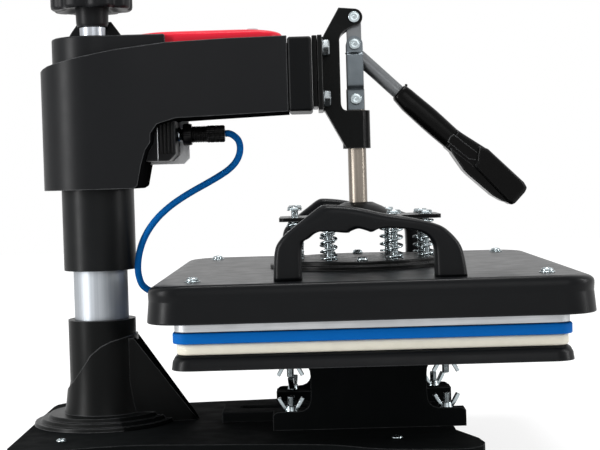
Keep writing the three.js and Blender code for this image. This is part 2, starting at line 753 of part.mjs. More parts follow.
const housingBody = cut(
  common(
    lying(housingPlan(0), beamZ - housing.bottomToBeam, 2 * housing.bottomToBeam, { curveSegments: 7 }),
    standing(housingSide(0, 0), -housing.radius - overrun, housing.radius + overrun),
  ),
  common(
    lying(housingPlan(shellWall), beamZ - housing.bottomToBeam, 2 * housing.bottomToBeam, { curveSegments: 7 }),
    standing(housingSide(shellWall, housing.endRise), -housing.radius - overrun, housing.radius + overrun),
  ),
  upright(sleeve.radius + clearance, beamZ - housing.bottomToBeam - overrun, beamZ, 40),
  block(
    [housingEnd - shellWall - overrun, -beam.half - clearance, beamZ - beam.half - clearance],
    [housingEnd + overrun, beam.half + clearance, beamZ + housing.endRise + overrun],
  ),
);
add("arm_housing", housingBody, finish.blackPlastic, [postX, 0, 0]);

// End cap of the arm, round the beam.
const capBox = sideways(
  roundedRectangle(2 * housing.endHalf, housing.endRise + housing.endDrop - endCap.lowered, shellWall),
  capLeft, capRight, { bevel: endCap.bevel, curveSegments: 3 },
).translate(0, 0, beamZ + (housing.endRise - housing.endDrop - endCap.lowered) / 2);
const beamHole = beam.half + clearance;
add(
  "arm_end_cap",
  cut(capBox, block(
    [capLeft - overrun, -beamHole, beamZ - beamHole],
    [capRight + overrun, beamHole, beamZ + beamHole],
  )),
  finish.blackPlastic,
);

// Top cover: a short tower over the sleeve and a strip that the red panel overlaps.
const coverSeat = sleeveTop + clearance;
const towerTop = beamZ + topCover.top;
const stripPlan = joined(
  lying(outline([[0, -topCover.stripHalf], [topCover.rightReach, -topCover.stripHalf],
    [topCover.rightReach, topCover.stripHalf], [0, topCover.stripHalf]]),
    towerTop - topCover.height, topCover.height, { bevel: topCover.bevel }),
  lying(new THREE.Shape().absarc(0, 0, topCover.radius, 0, 2 * Math.PI),
    towerTop - topCover.height, topCover.height, { bevel: topCover.bevel, curveSegments: 12 }),
);
const towerFlange = common(
  lying(housingPlan(shellWall + clearance), towerTop - topCover.height, topCover.flange, { curveSegments: 7 }),
  block(
    [-housing.radius, -housing.radius, 0],
    [topCover.rightReach, housing.radius, beamZ + housing.bottomToBeam],
  ),
);
const hoodBody = common(
  turned([
    [0, towerTop - topCover.bevel],
    [hood.radius, towerTop - topCover.bevel],
    [hood.topRadius, towerTop + hood.height],
    [0, towerTop + hood.height],
  ], 32),
  block(
    [-hood.radius, hood.behind, towerTop - overrun * 2],
    [hood.radius, hood.radius, towerTop + hood.height + overrun],
  ),
);
const panelRight = housingEnd - panel.fromEnd;
const panelLeft = panelRight - panel.width;
const panelX = (panelLeft + panelRight) / 2;
const panelBottom = beamZ + panel.bottom;
const panelEdge = beamZ + panel.edge;
function panelSolid(grow) {
  const rings = crownShares.map(([size, rise]) =>
    levelRing(
      (panel.width + 2 * grow) * size,
      (panel.depth + 2 * grow) * (0.4 + 0.6 * size),
      (panel.corner + grow) * (0.25 + 0.75 * size) * 0.8,
      panelEdge + rise * panel.crown + grow,
    ),
  );
  const bottom = levelRing(panel.width + 2 * grow, panel.depth + 2 * grow, (panel.corner + grow) * 0.8, panelBottom - grow);
  return solid(lofted([bottom, ...rings]).translate(panelX, 0, 0));
}
const frameRoom = joined(
  upright(sleeve.radius + clearance, towerTop - topCover.height - overrun, coverSeat, 40),
  block(
    [0, -beam.half - clearance, towerTop - topCover.height - overrun],
    [topCover.rightReach + overrun, beam.half + clearance, beamZ + beam.half + clearance],
  ),
);
const topBody = cut(
  joined(stripPlan, towerFlange, hoodBody),
  frameRoom,
  upright(screw.collarRadius + clearance, coverSeat - overrun, towerTop + overrun, 32),
  panelSolid(clearance),
);
add("arm_top_cover", topBody, finish.blackPlastic, [postX, 0, 0]);

// Red control panel: a crowned lid with three sprung keys.
const keyX = panelRight - key.fromPanelEnd;
const keyPlaces = [["button_up", -1], ["button_set", 0], ["button_down", 1]].map(([name, at]) => ({
  name,
  y: at * key.spacing,
}));
const keyTop = panelEdge + panel.crown * 0.9 + key.proud;
const keyBottom = keyTop - key.height;
const wells = keyPlaces.map(({ y }) =>
  upright(key.radius + clearance, keyBottom - key.travel - clearance, keyTop + overrun * 2, 20).translate(keyX, y, 0),
);
const panelPocket = block(
  [panelLeft + shellWall * 3, -panel.depth / 2 + shellWall * 2, panelBottom - overrun],
  [panelRight - shellWall * 3, panel.depth / 2 - shellWall * 2, panelBottom + panel.pocket],
);
const panelBody = cut(panelSolid(0), panelPocket, ...wells);
add("control_panel", panelBody, finish.redPlastic, [postX, 0, 0]);
for (const { name, y } of keyPlaces) {
  add(
    name,
    turned([
      [0, keyBottom],
      [key.radius, keyBottom],
      [key.radius, keyTop - clearance * 2],
      [key.radius - clearance * 2, keyTop],
      [0, keyTop],
    ], 20),
    finish.keyPlastic,
    [postX + keyX, y, 0],
  );
}

// Control box under the arm, its light back plate, and the rocker switch behind it.
const boxBottom = beamZ - controlBox.bottomToBeam;
const boxTop = beamZ - housing.undersideToBeam - clearance;
const boxOutline = outline([
  [controlBox.leftReach, boxBottom],
  [controlBox.rightReach - controlBox.chamfer, boxBottom],
  [controlBox.rightReach, boxBottom + controlBox.chamfer],
  [controlBox.rightReach, boxTop],
  [controlBox.leftReach, boxTop],
]);
const housingClear = joined(
  common(
    lying(housingPlan(-clearance), beamZ - housing.bottomToBeam - clearance, 2 * housing.bottomToBeam, {
      curveSegments: 7,
    }),
    standing(housingSide(-clearance, 0), -housing.radius - overrun, housing.radius + overrun),
  ),
  upright(sleeve.radius + clearance, sleeveBottom, beamZ, 40),
);
const connectorZ = beamZ - connector.belowBeam;
const boxBody = cut(standing(boxOutline, -controlBox.half, controlBox.half), housingClear);
add("control_box", boxBody, finish.blackPlastic, [postX, 0, 0]);

const plateFront = controlBox.half + clearance;
const plateBack = plateFront + boxPlate.thickness;
const plateBottom = boxBottom - boxPlate.bottomExtra;
const plateOutline = outline([
  [controlBox.leftReach, plateBottom],
  [boxPlate.rightReach - boxPlate.chamfer, plateBottom],
  [boxPlate.rightReach, plateBottom + boxPlate.chamfer],
  [boxPlate.rightReach, boxTop],
  [controlBox.leftReach, boxTop],
]);
const rockerX = boxPlate.rightReach - rocker.fromEdge;
const rockerY = plateBack + rocker.boxDepth - rocker.faceDrop;
const rockerZ = connectorZ - clearance;
const rockerHouse = block(
  [rockerX - rocker.boxWidth / 2, plateFront + boxPlate.thickness / 2, rockerZ - rocker.boxHeight / 2],
  [rockerX + rocker.boxWidth / 2, plateBack + rocker.boxDepth, rockerZ + rocker.boxHeight / 2 - clearance],
);
const rockerWell = alongX(
  rocker.radius + clearance, rockerX - rocker.length / 2 - clearance, rockerX + rocker.length / 2 + clearance, 24,
).translate(0, rockerY, rockerZ);
add(
  "box_plate",
  cut(joined(standing(plateOutline, plateFront, plateBack), rockerHouse), rockerWell, housingClear),
  finish.aluminium,
  [postX, 0, 0],
);
const rockerCut = block(
  [-rocker.length, rocker.faceDrop + clearance * 4, -rocker.radius * 2],
  [rocker.length, rocker.radius * 2, rocker.radius * 2],
);
const rockerBody = joined(
  cut(alongX(rocker.radius, -rocker.length / 2, rocker.length / 2, 24), rockerCut),
  block([-rocker.length / 2, 0, clearance], [rocker.length / 2, rocker.faceDrop * 1.9, rocker.radius * 0.62]),
);
add("power_switch", rockerBody, finish.redPlastic, [postX + rockerX, rockerY, rockerZ]);

// Round connector on the box, and the lead that drops from it to the cover.
const flangeEnd = connector.stem + connector.flangeLength;
const bodyEnd = flangeEnd + connector.bodyLength;
const nutEnd = bodyEnd + connector.nutLength;
const connectorBody = turned([
  [0, 0],
  [connector.bodyRadius, 0],
  [connector.bodyRadius, connector.stem],
  [connector.flangeRadius, connector.stem],
  [connector.flangeRadius, flangeEnd],
  [connector.bodyRadius, flangeEnd],
  [connector.bodyRadius, bodyEnd],
  [connector.nutRadius, bodyEnd],
  [connector.nutRadius, nutEnd],
  [0, nutEnd],
], 24).rotateY(Math.PI / 2);
const connectorX = postX + controlBox.rightReach + clearance;
add("platen_connector", connectorBody, finish.blackPlastic, [connectorX, 0, connectorZ]);

const glandX = -coverWidth / 2 - gland.length;
const glandZ = coverBottom + gland.aboveBottom;
const leadStart = new THREE.Vector3(connectorX + nutEnd + clearance, 0, connectorZ);
const leadEnd = new THREE.Vector3(glandX - clearance, 0, glandZ);
const leadRoute = [
  [-112.0, 0, 292.8],
  [-107.6, 0, 288.4],
  [-106.0, 0, 282.4],
  [-106.9, 0, 275.4],
  [-110.4, -0.4, 268.6],
  [-116.6, -1, 262.4],
  [-125.2, -1.8, 256.8],
  [-136.0, -3, 250.8],
  [-147.8, -4.2, 244.6],
  [-159.6, -5.4, 237.8],
  [-170.6, -6.8, 230.2],
  [-180.6, -8.4, 221.2],
  [-188.8, -9.8, 210.8],
  [-194.8, -10.8, 199.2],
  [-198.2, -11.2, 187],
  [-199.3, -10.2, 176],
  [-198.5, -7.6, 168],
  [-196.7, -4.6, 162.2],
  [-192.7, -1.6, 157.7],
].map((point) => new THREE.Vector3(...point));
const leadPath = new THREE.CatmullRomCurve3([
  leadStart,
  leadStart.clone().setX(leadStart.x + lead.radius),
  ...leadRoute,
  leadEnd.clone().setX(leadEnd.x - lead.radius),
  leadEnd,
], false, "centripetal");
const leadTube = new THREE.ExtrudeGeometry(new THREE.Shape().absarc(0, 0, lead.radius, 0, 2 * Math.PI), {
  steps: 56,
  curveSegments: 4,
  extrudePath: leadPath,
});
add("platen_lead", leadTube, finish.leadJacket);

// Pressure screw with its collar, and the lobed knob on it.
const collarBottom = sleeveTop + clearance;
const collarTop = towerTop + screw.collarHeight;
add(
  "pressure_screw",
  turned([
    [0, collarTop - screw.length],
    [screw.radius, collarTop - screw.length],
    [screw.radius, collarBottom],
    [screw.collarRadius, collarBottom],
    [screw.collarRadius, collarTop],
    [0, collarTop],
  ]),
  finish.chrome,
  [postX, 0, 0],
);
const knobBottom = collarTop + knob.neckHeight;
const knobPoints = knob.lobeCount * pointsPerLobe;
const knobOutline = new THREE.Shape(
  Array.from({ length: knobPoints }, (_, i, angle = (i / knobPoints) * 2 * Math.PI) => {
    const radius = knob.radius - knob.lobeDepth * (0.5 - 0.5 * Math.cos(knob.lobeCount * angle)) ** 2;
    return new THREE.Vector2(radius * Math.cos(angle), radius * Math.sin(angle));
  }),
);
const knobNeck = turned([
  [0, collarTop + clearance],
  [knob.neckRadius, collarTop + clearance],
  [knob.neckRadius, knobBottom - knob.bevel * 1.5],
  [knob.neckRadius + knob.bevel * 2, knobBottom],
  [knob.neckRadius + knob.bevel * 2, knobBottom + knob.bevel],
  [0, knobBottom + knob.bevel],
]);
add(
  "pressure_knob",
  joined(knobNeck, lying(knobOutline, knobBottom, knob.height, { bevel: knob.bevel })),
  finish.blackPlastic,
  [postX, 0, 0],
);

// Arm flange and lever head: the casting that carries the lever and guides the shaft.
const headFlangeTop = beamZ + housing.endRise + leverHead.flangeAboveBeam - clearance;
add(
  "flange_plate",
  block(
    [flangeLeft, -armFlange.half, headFlangeTop - armFlange.height],
    [flangeRight, armFlange.half, headFlangeTop],
  ),
  finish.casting,
);
const headSide = new THREE.Shape();
headSide.moveTo(-leverHead.toeLeft, bossBottom);
headSide.lineTo(leverHead.bossRadius / 2, bossBottom);
headSide.lineTo(leverHead.bossRadius / 2, bossTop);
headSide.lineTo(-leverHead.earRadius, bossTop);
headSide.quadraticCurveTo(
  -leverHead.webRight, bossTop, -leverHead.webRight, bossTop + leverHead.earRadius,
);
headSide.lineTo(-leverHead.webRight, middlePivotZ + link.half / 2);
headSide.quadraticCurveTo(
  -leverHead.webRight, topPivotZ - leverHead.bossRadius,
  0, topPivotZ - leverHead.earRadius,
);
headSide.absarc(0, topPivotZ, leverHead.earRadius, -Math.PI / 2, Math.PI / 2 - 0.2);
headSide.lineTo(-leverHead.webRight, topPivotZ + leverHead.earRadius + clearance * 4);
headSide.lineTo(-leverHead.webLeft, middlePivotZ + leverHead.earRadius);
headSide.lineTo(-leverHead.webLeft, bossTop);
const flangeOuter = leverHead.flangeFace + leverHead.flangeThickness;
const headFlange = block(
  [-flangeOuter, -leverHead.flangeHalf, headFlangeTop - leverHead.flangeHeight],
  [-leverHead.flangeFace, leverHead.flangeHalf, headFlangeTop],
);
const headWeb = joined(
  standing(headSide, -leverHead.webHalf, leverHead.webHalf, { curveSegments: 8 }),
  block(
    [-leverHead.flangeFace - clearance, -leverHead.webHalf, bossTop],
    [-leverHead.webLeft + clearance, leverHead.webHalf, headFlangeTop],
  ),
  upright(leverHead.bossRadius, bossBottom, bossTop, 32),
);
const earSlot = block(
  [-leverHead.earRadius - leverHead.slotBack, -lever.barHalf - clearance, middlePivotZ],
  [leverHead.webLeft, lever.barHalf + clearance, topPivotZ + leverHead.webLeft],
);
const headBody = cut(
  joined(headFlange, headWeb),
  earSlot,
  upright(shaft.radius + clearance, bossBottom - overrun, bossTop + linkLength / 2, 32),
  alongY(pivot.radius + clearance, -leverHead.webHalf - overrun, leverHead.webHalf + overrun, 16)
    .translate(0, 0, topPivotZ),
);
add("lever_head", headBody, finish.casting, [shaftX, 0, 0]);

// Lever: a flat bar on the top pivot with a tube welded on, in a moulded grip.
const leverTurn = THREE.MathUtils.degToRad(lever.angleDegrees);
const onLever = (geometry) => geometry.rotateY(leverTurn).translate(0, 0, middlePivotZ);
const barHalf = lever.barHalf - clearance / 3;
const leverBar = joined(
  standing(stadium(0, middlePivotZ, 0, topPivotZ, link.half - clearance), -barHalf, barHalf, { curveSegments: 8 }),
  onLever(standing(stadium(0, -lever.drop / 2, lever.barReach, -lever.drop, lever.tubeRadius), -barHalf, barHalf, {
    curveSegments: 8,
  })),
  onLever(
    alongX(lever.tubeRadius, lever.barHalf, lever.gripStart + grip.tubeInside, 24).translate(0, 0, -lever.drop),
  ),
);
const topPinHole = alongY(
  pivot.radius + clearance, -lever.barHalf - overrun, lever.barHalf + overrun, 16,
).translate(0, 0, topPivotZ);
add("lever_arm", cut(leverBar, topPinHole), finish.greyPaint, [shaftX, 0, 0]);

const gripRings = gripShares.map(([along, thick, wide, rise]) => {
  const half = grip.endHalf * thick;
  const width = 2 * grip.neckWidth * wide;
  const ring = levelRing(2 * half, width, Math.min(half, width / 2) * 0.72, 0, 4);
  return ring.map(
    (p) => new THREE.Vector3(lever.gripStart + along * grip.length, p.y, p.x + rise * grip.lift),
  );
});
const gripBody = cut(
  lofted(gripRings).translate(0, 0, -lever.drop),
  alongX(lever.tubeRadius + clearance, lever.gripStart - overrun, lever.gripStart + grip.tubeInside + clearance, 24)
    .translate(0, 0, -lever.drop),
);
const gripGeometry = onLever(geometryOf(gripBody));
add("lever_grip", gripGeometry, finish.blackPlastic, [shaftX, 0, 0]);

// Toggle links, outside the lever bar and the shaft's flats.
function toggleLink(side) {
  const inner = lever.barHalf + clearance;
  const outer = inner + link.thickness;
  const low = lowPivotZ - link.footBelow;
  const high = middlePivotZ + link.half;
  const rise = lowPivotZ + link.half;
  const fall = middlePivotZ - link.half - link.bend;
  const { jog, bend } = link;
  const profile = outline([
    [inner, low], [outer, low], [outer, rise], [outer + jog, rise + bend], [outer + jog, fall], [outer, fall + bend],
    [outer, high], [inner, high], [inner, fall + bend], [inner + jog, fall], [inner + jog, rise + bend], [inner, rise],
  ].map(([y, z]) => [side * y, z]));
  const face = new THREE.Shape();
  face.moveTo(-link.half, low);
  face.lineTo(link.half, low);
  face.absarc(0, middlePivotZ, link.half, 0, Math.PI);
  return cut(
    common(sideways(profile, -link.half, link.half), standing(face, -outer * 2, outer * 2, { curveSegments: 10 })),
    pinHole(lowPivotZ, side),
    ...(side < 0 ? [pinHole(middlePivotZ, side)] : []),
  );
}

function pinHole(z, side) {
  const far = lever.barHalf + link.thickness * 2;
  return alongY(pivot.radius + clearance, side < 0 ? -far : 0, side < 0 ? 0 : far, 16).translate(0, 0, z);
}

const linkOuter = lever.barHalf + clearance + link.thickness;
add("link_front", toggleLink(-1), finish.zinc, [shaftX, 0, 0]);
add(
  "link_rear",
  joined(
    toggleLink(1),
    alongY(pivot.headRadius, linkOuter - clearance, linkOuter + pivot.headHeight, 16).translate(0, 0, middlePivotZ),
  ),
  finish.zinc,
  [shaftX, 0, 0],
);

function pivotBolt(y0, y1, rearHead) {
  const front = alongY(pivot.headRadius, y0 - pivot.headHeight, y0, 20);
  const shank = alongY(pivot.radius, y0 - clearance, y1 + clearance, 16);
  return rearHead ? joined(front, shank, alongY(pivot.headRadius, y1, y1 + pivot.headHeight, 20)) : joined(front, shank);
}
const earOuter = leverHead.webHalf + clearance;
const boltSeat = linkOuter + clearance;
add("pivot_bolt_top", pivotBolt(-earOuter, earOuter, true), finish.zinc, [shaftX, 0, topPivotZ]);
add(
  "pivot_bolt_middle",
  pivotBolt(-boltSeat, -lever.barHalf - 2 * clearance, false),
  finish.zinc,
  [shaftX, 0, middlePivotZ],
);
add("pivot_bolt_low", pivotBolt(-boltSeat, boltSeat, true), finish.zinc, [shaftX, 0, lowPivotZ]);

// Shaft, flatted at its top between the links, and the spring plate that it pushes.
const shaftSeat = springPlateTop + clearance * 5;
const shaftTop = lowPivotZ + shaft.topReach;
const flatCut = (side) =>
  block(
    [-2 * shaft.radius, side < 0 ? -2 * shaft.radius : shaft.flatHalf, lowPivotZ - shaft.flatBelow],
    [2 * shaft.radius, side < 0 ? -shaft.flatHalf : 2 * shaft.radius, shaftTop + overrun],
  );
add(
  "press_shaft",
  cut(
    upright(shaft.radius, shaftSeat + clearance, shaftTop, 32),
    flatCut(-1),
    flatCut(1),
    alongY(pivot.radius + clearance, -2 * shaft.radius, 2 * shaft.radius, 16).translate(0, 0, lowPivotZ),
  ),
  finish.nickel,
  [shaftX, 0, 0],
);

const boltPlaces = [];
for (const [dx, dy] of [[springBolt.farX, springBolt.nearX], [springBolt.nearX, springBolt.farX]]) {
  for (const sx of [-1, 1]) {
    for (const sy of [-1, 1]) boltPlaces.push([sx * dx, sy * dy]);
  }
}
const reach = springPlate.reach;
const armHalf = springPlate.armWidth / 2;
const crossArm = (width, depth) =>
  lying(roundedRectangle(width, depth, shellWall * 2), springPlateBottom, springPlateThickness, { curveSegments: 3 });
const hub = turned([
  [0, springPlateBottom],
  [springPlate.hubRadius, springPlateBottom],
  [springPlate.hubRadius, springPlateTop],
  [springPlate.hubRadius * 0.9, springPlateTop + hubHeight * 0.3],
  [springPlate.hubRadius * 0.68, springPlateTop + hubHeight * 0.66],
  [springPlate.hubNeck, hubTop],
  [0, hubTop],
], 24);
add(
  "spring_plate",
  cut(
    joined(crossArm(2 * reach, 2 * armHalf), crossArm(2 * armHalf, 2 * reach), hub),
    upright(shaft.radius + clearance, shaftSeat, hubTop + overrun, 32),
    ...boltPlaces.map(([x, y]) =>
      upright(springPlate.holeRadius, springPlateBottom - overrun, springPlateTop + overrun, 8).translate(x, y, 0),
    ),
  ),
  finish.casting,
  [shaftX, 0, 0],
);

// Mounting disc with its eight bolts, their heads left standing higher towards the post.
const discBottom = coverTop + clearance;
const headLift = (x) =>
  clearance + (springBolt.liftLeft - clearance) * (springBolt.farX - x) / (2 * springBolt.farX);
const discBolts = boltPlaces.flatMap(([x, y]) => {
  const seat = springPlateTop + headLift(x);
  return [
    upright(springBolt.radius, discTop - overrun, seat + clearance, 8).translate(x, y, 0),
    upright(springBolt.headRadius, seat, seat + springBolt.headHeight, 12).translate(x, y, 0),
  ];
});
add(
  "mounting_disc",
  joined(
    upright(disc.radius, discBottom, discBottom + disc.layer, 36),
    upright(disc.upperRadius, discBottom, discTop, 36),
    ...discBolts,
  ),
  finish.casting,
  [shaftX, 0, 0],
);

// Springs: a helix with a straight end of one wire's width at each seat, as one closed tube.
function springGeometry() {
  const steps = 8;
  const sides = 5;
  const { wireRadius } = spring;
  const coil = spring.outerRadius - wireRadius;
  const bottom = discTop + clearance;
  const top = springPlateBottom - clearance;
  const low = bottom + 2 * wireRadius;
  const high = top - 2 * wireRadius;
  const total = spring.curlCount * steps;
  const centres = [new THREE.Vector3(coil, 0, bottom)];
  for (let i = 0; i <= total; i++) {
    const angle = (i / steps) * 2 * Math.PI;
    centres.push(new THREE.Vector3(
      coil * Math.cos(angle),
      coil * Math.sin(angle),
      low + (high - low) * (i / total),
    ));
  }
  centres.push(new THREE.Vector3(coil, 0, top));
  const rings = centres.map((centre, i) => {
    const before = centres[Math.max(i - 1, 0)];
    const after = centres[Math.min(i + 1, centres.length - 1)];
    const ahead = after.clone().sub(before).normalize();
    const outward = new THREE.Vector3(centre.x, centre.y, 0).normalize();
    const across = outward.clone().addScaledVector(ahead, -outward.dot(ahead)).normalize();
    const upward = ahead.clone().cross(across);
    return Array.from({ length: sides }, (_, k, angle = (k / sides) * 2 * Math.PI) =>
      centre.clone()
        .addScaledVector(across, wireRadius * Math.cos(angle))
        .addScaledVector(upward, wireRadius * Math.sin(angle)),
    );
  });
  let least = Infinity;
  centres.forEach((a, i) => centres.slice(i + steps - 1).forEach((b) => {
    least = Math.min(least, a.distanceTo(b) - 2 * wireRadius);
  }));
  console.log("spring: least gap between curls " + least.toFixed(2) + " mm");
  return lofted(rings);
}
const coilSpring = springGeometry();
boltPlaces.forEach(([x, y]) => {
  const column = x < 0 ? "left" : "right";
  const row = y < 0 ? "front" : "rear";
  const place = Math.abs(x) > Math.abs(y) ? "outer" : "inner";
  add(["spring", row, column, place].join("_"), coilSpring, finish.springSteel, [shaftX + x, y, 0]);
});

// Heating platen, hung from the cover by four stand-offs.
const heatBottom = padTop + clearance;
const coverInner = coverTop - shellWall;
const hangers = [[-1, -1], [1, -1], [-1, 1], [1, 1]].map(([sx, sy]) =>
  upright(platen.hangerRadius, heatBottom + platen.thickness / 2, coverInner - clearance, 16)
    .translate(sx * platen.hangerX, sy * platen.hangerY, 0),
);
add(
  "heating_platen",
  joined(lying(roundedRectangle(platen.width, platen.depth, platen.corner), heatBottom, platen.thickness), ...hangers),
  finish.aluminium,
);

// Cover: a moulded lid, soft at its sides and crisp at its ends, with the lead's gland on its left wall.
function coverRings(inset, top) {
  const wallTop = top - cover.shoulderHeight;
  const ring = (sideways, endways, corner, z) =>
    levelRing(coverWidth - 2 * (inset + sideways), coverDepth - 2 * (inset + endways), corner - inset, z, 4);
  return [
    ring(0, 0, cover.corner, coverBottom - (inset > 0 ? overrun : 0)),
    ...coverShoulderShares.map(([side, end, rise]) =>
      ring(
        cover.flare + side * cover.sideShoulder,
        cover.flare / 2 + end * cover.endShoulder,
        cover.corner + rise * (cover.topCorner - cover.corner),
        wallTop + rise * cover.shoulderHeight,
      ),
    ),
  ];
}
const glandBody = alongX(gland.radius, glandX, -coverWidth / 2 + shellWall, 20).translate(0, 0, glandZ);
add(
  "platen_cover",
  joined(cut(lofted(coverRings(0, coverTop)), lofted(coverRings(shellWall, coverInner))), glandBody),
  finish.blackPlastic,
);

// Handles: bridges with finger scallops, one along the front edge and one along the rear.
const handleSide = outline([
  ...handleInnerShares.map(([x, z]) => [x * handle.innerHalf, z * handle.innerHeight]).reverse(),
  ...handleOuterShares.map(([x, z]) => [x * handle.length / 2, z * handle.height]).reverse(),
].map(([x, z]) => [x, z + coverTop + clearance]).reverse());
const handleBody = standing(handleSide, -handle.thickness / 2, handle.thickness / 2, {
  bevel: handle.thickness / 8,
});
const handleY = coverDepth / 2 - handle.fromEdge;
add("handle_front", handleBody, finish.blackPlastic, [0, -handleY, 0]);
add("handle_rear", handleBody, finish.blackPlastic, [0, handleY, 0]);

// The origin is at the middle of the whole machine's box, on the bench.
press.position.x = (postToPlaten + base.leftReach - coverWidth / 2) / 2;

export default press;
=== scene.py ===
"""A swing-away combo heat press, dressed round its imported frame.

Lengths are in metres: +X runs from the post to the lever, +Y away from the user, +Z up.
"""

import math

import bmesh
import bpy
from mathutils import Matrix, Vector, noise


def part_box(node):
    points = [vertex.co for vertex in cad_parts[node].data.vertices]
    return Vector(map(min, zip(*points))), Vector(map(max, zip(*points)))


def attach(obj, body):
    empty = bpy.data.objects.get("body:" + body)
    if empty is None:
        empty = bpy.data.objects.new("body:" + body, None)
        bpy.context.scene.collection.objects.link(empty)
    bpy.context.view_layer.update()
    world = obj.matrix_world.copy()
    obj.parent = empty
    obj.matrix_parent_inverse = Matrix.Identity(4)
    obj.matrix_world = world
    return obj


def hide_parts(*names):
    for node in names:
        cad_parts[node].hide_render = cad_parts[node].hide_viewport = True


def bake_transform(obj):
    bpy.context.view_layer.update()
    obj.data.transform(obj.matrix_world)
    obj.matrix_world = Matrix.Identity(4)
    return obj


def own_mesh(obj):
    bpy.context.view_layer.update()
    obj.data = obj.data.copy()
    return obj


bl_info = {
    "name": "Swing-away heat press",
    "version": (1, 0, 0),
    "blender": (4, 5, 0),
    "location": "View3D > Sidebar > Heat press",
    "description": "Dresses the frame of a swing-away heat press with detailed pieces and finishes",
    "category": "Add Mesh",
}

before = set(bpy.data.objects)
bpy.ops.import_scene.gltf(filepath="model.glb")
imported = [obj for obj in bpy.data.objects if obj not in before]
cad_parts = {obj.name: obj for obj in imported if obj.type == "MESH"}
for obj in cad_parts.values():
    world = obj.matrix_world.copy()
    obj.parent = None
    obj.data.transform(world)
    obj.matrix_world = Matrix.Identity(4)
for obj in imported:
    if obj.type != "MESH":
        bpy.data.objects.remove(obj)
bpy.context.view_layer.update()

# one millimetre, the fit that the solids keep between pieces, and how a length is shown to the user
MM = 0.001
CLEARANCE = 0.0003
LONG = {"unit": "LENGTH", "subtype": "DISTANCE"}


# where the pieces are
def low(node):
    """The lowest corner of a CAD node."""
    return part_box(node)[0]


def high(node):
    """The highest corner of a CAD node."""
    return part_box(node)[1]


def middle(node):
    """The middle of a CAD node's box."""
    return (low(node) + high(node)) / 2


def spot(node, x, y, z):
    """A point in a CAD node's box, by shares of its width, depth and height."""
    a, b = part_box(node)
    return Vector((a.x + x * (b.x - a.x), a.y + y * (b.y - a.y), a.z + z * (b.z - a.z)))


def rows(*triples):
    """Points given in millimetres from the platen's middle on the bench, in the frame."""
    centre = middle("silicone_pad")
    return [Vector((centre.x + x * MM, centre.y + y * MM, z * MM)) for x, y, z in triples]


# node groups and finishes
GRAIN_SIZE = 900.0
BLOTCH_SIZE = 18.0
STREAK_TO_BLOTCH = 3.7
PIT_SHARE = 0.45
SECOND_SHADE = 0.8
TONE_SPAN = (0.3, 0.7)
STREAK_SPAN = (0.35, 0.65)
BUMP_DEPTH = 0.0004

# painted edge highlights: how wide they are, the cosines of the bend where they start and are full, and
# their patches
EDGE_WIDTH = 0.0012
EDGE_BENDS = (0.995, 0.88)
EDGE_PATCHES = 140.0


def group_tree(name, inputs, outputs):
    """An empty shader group with named sockets, and its input and output nodes."""
    tree = bpy.data.node_groups.new(name, "ShaderNodeTree")
    for label, default in inputs:
        socket = tree.interface.new_socket(name=label, in_out="INPUT", socket_type="NodeSocketFloat")
        socket.default_value = default
    for label in outputs:
        tree.interface.new_socket(name=label, in_out="OUTPUT", socket_type="NodeSocketFloat")
    return tree, tree.nodes.new("NodeGroupInput"), tree.nodes.new("NodeGroupOutput")


def put(tree, kind, **settings):
    """A node whose settings are properties of the node or values of its inputs."""
    node = tree.nodes.new(kind)
    for key, value in settings.items():
        if hasattr(node, key):
            setattr(node, key, value)
        else:
            node.inputs[key.replace("_", " ")].default_value = value
    return node


def grain_group():
    """Fine grain over soft blotches: a height for the bump, and a tone and a shine that vary."""
    name = "Surface grain"
    if name in bpy.data.node_groups:
        return bpy.data.node_groups[name]
    tree, inside, outside = group_tree(
        name,
        (("Grain size", GRAIN_SIZE), ("Blotch size", BLOTCH_SIZE)),
        ("Height", "Tone", "Shine"),
    )
    link = tree.links.new
    place = put(tree, "ShaderNodeTexCoord")
    fine = put(tree, "ShaderNodeTexNoise", Detail=3.0, Roughness=0.6)
    pits = put(tree, "ShaderNodeTexVoronoi", feature="SMOOTH_F1")
    blotch = put(tree, "ShaderNodeTexNoise", Detail=4.0, Roughness=0.55)
    streak = put(tree, "ShaderNodeTexNoise", Detail=2.0)
    for node in (fine, pits, blotch, streak):
        link(place.outputs["Object"], node.inputs["Vector"])
    link(inside.outputs["Grain size"], fine.inputs["Scale"])
    link(inside.outputs["Grain size"], pits.inputs["Scale"])
    link(inside.outputs["Blotch size"], blotch.inputs["Scale"])
    larger = put(tree, "ShaderNodeMath", operation="MULTIPLY")
    larger.inputs[1].default_value = STREAK_TO_BLOTCH
    link(inside.outputs["Blotch size"], larger.inputs[0])
    link(larger.outputs[0], streak.inputs["Scale"])
    both = put(tree, "ShaderNodeMath", operation="MULTIPLY_ADD")
    both.inputs[1].default_value = PIT_SHARE
    link(pits.outputs["Distance"], both.inputs[0])
    link(fine.outputs["Fac"], both.inputs[2])
    link(both.outputs[0], outside.inputs["Height"])
    link(blotch.outputs["Fac"], outside.inputs["Tone"])
    link(streak.outputs["Fac"], outside.inputs["Shine"])
    return tree


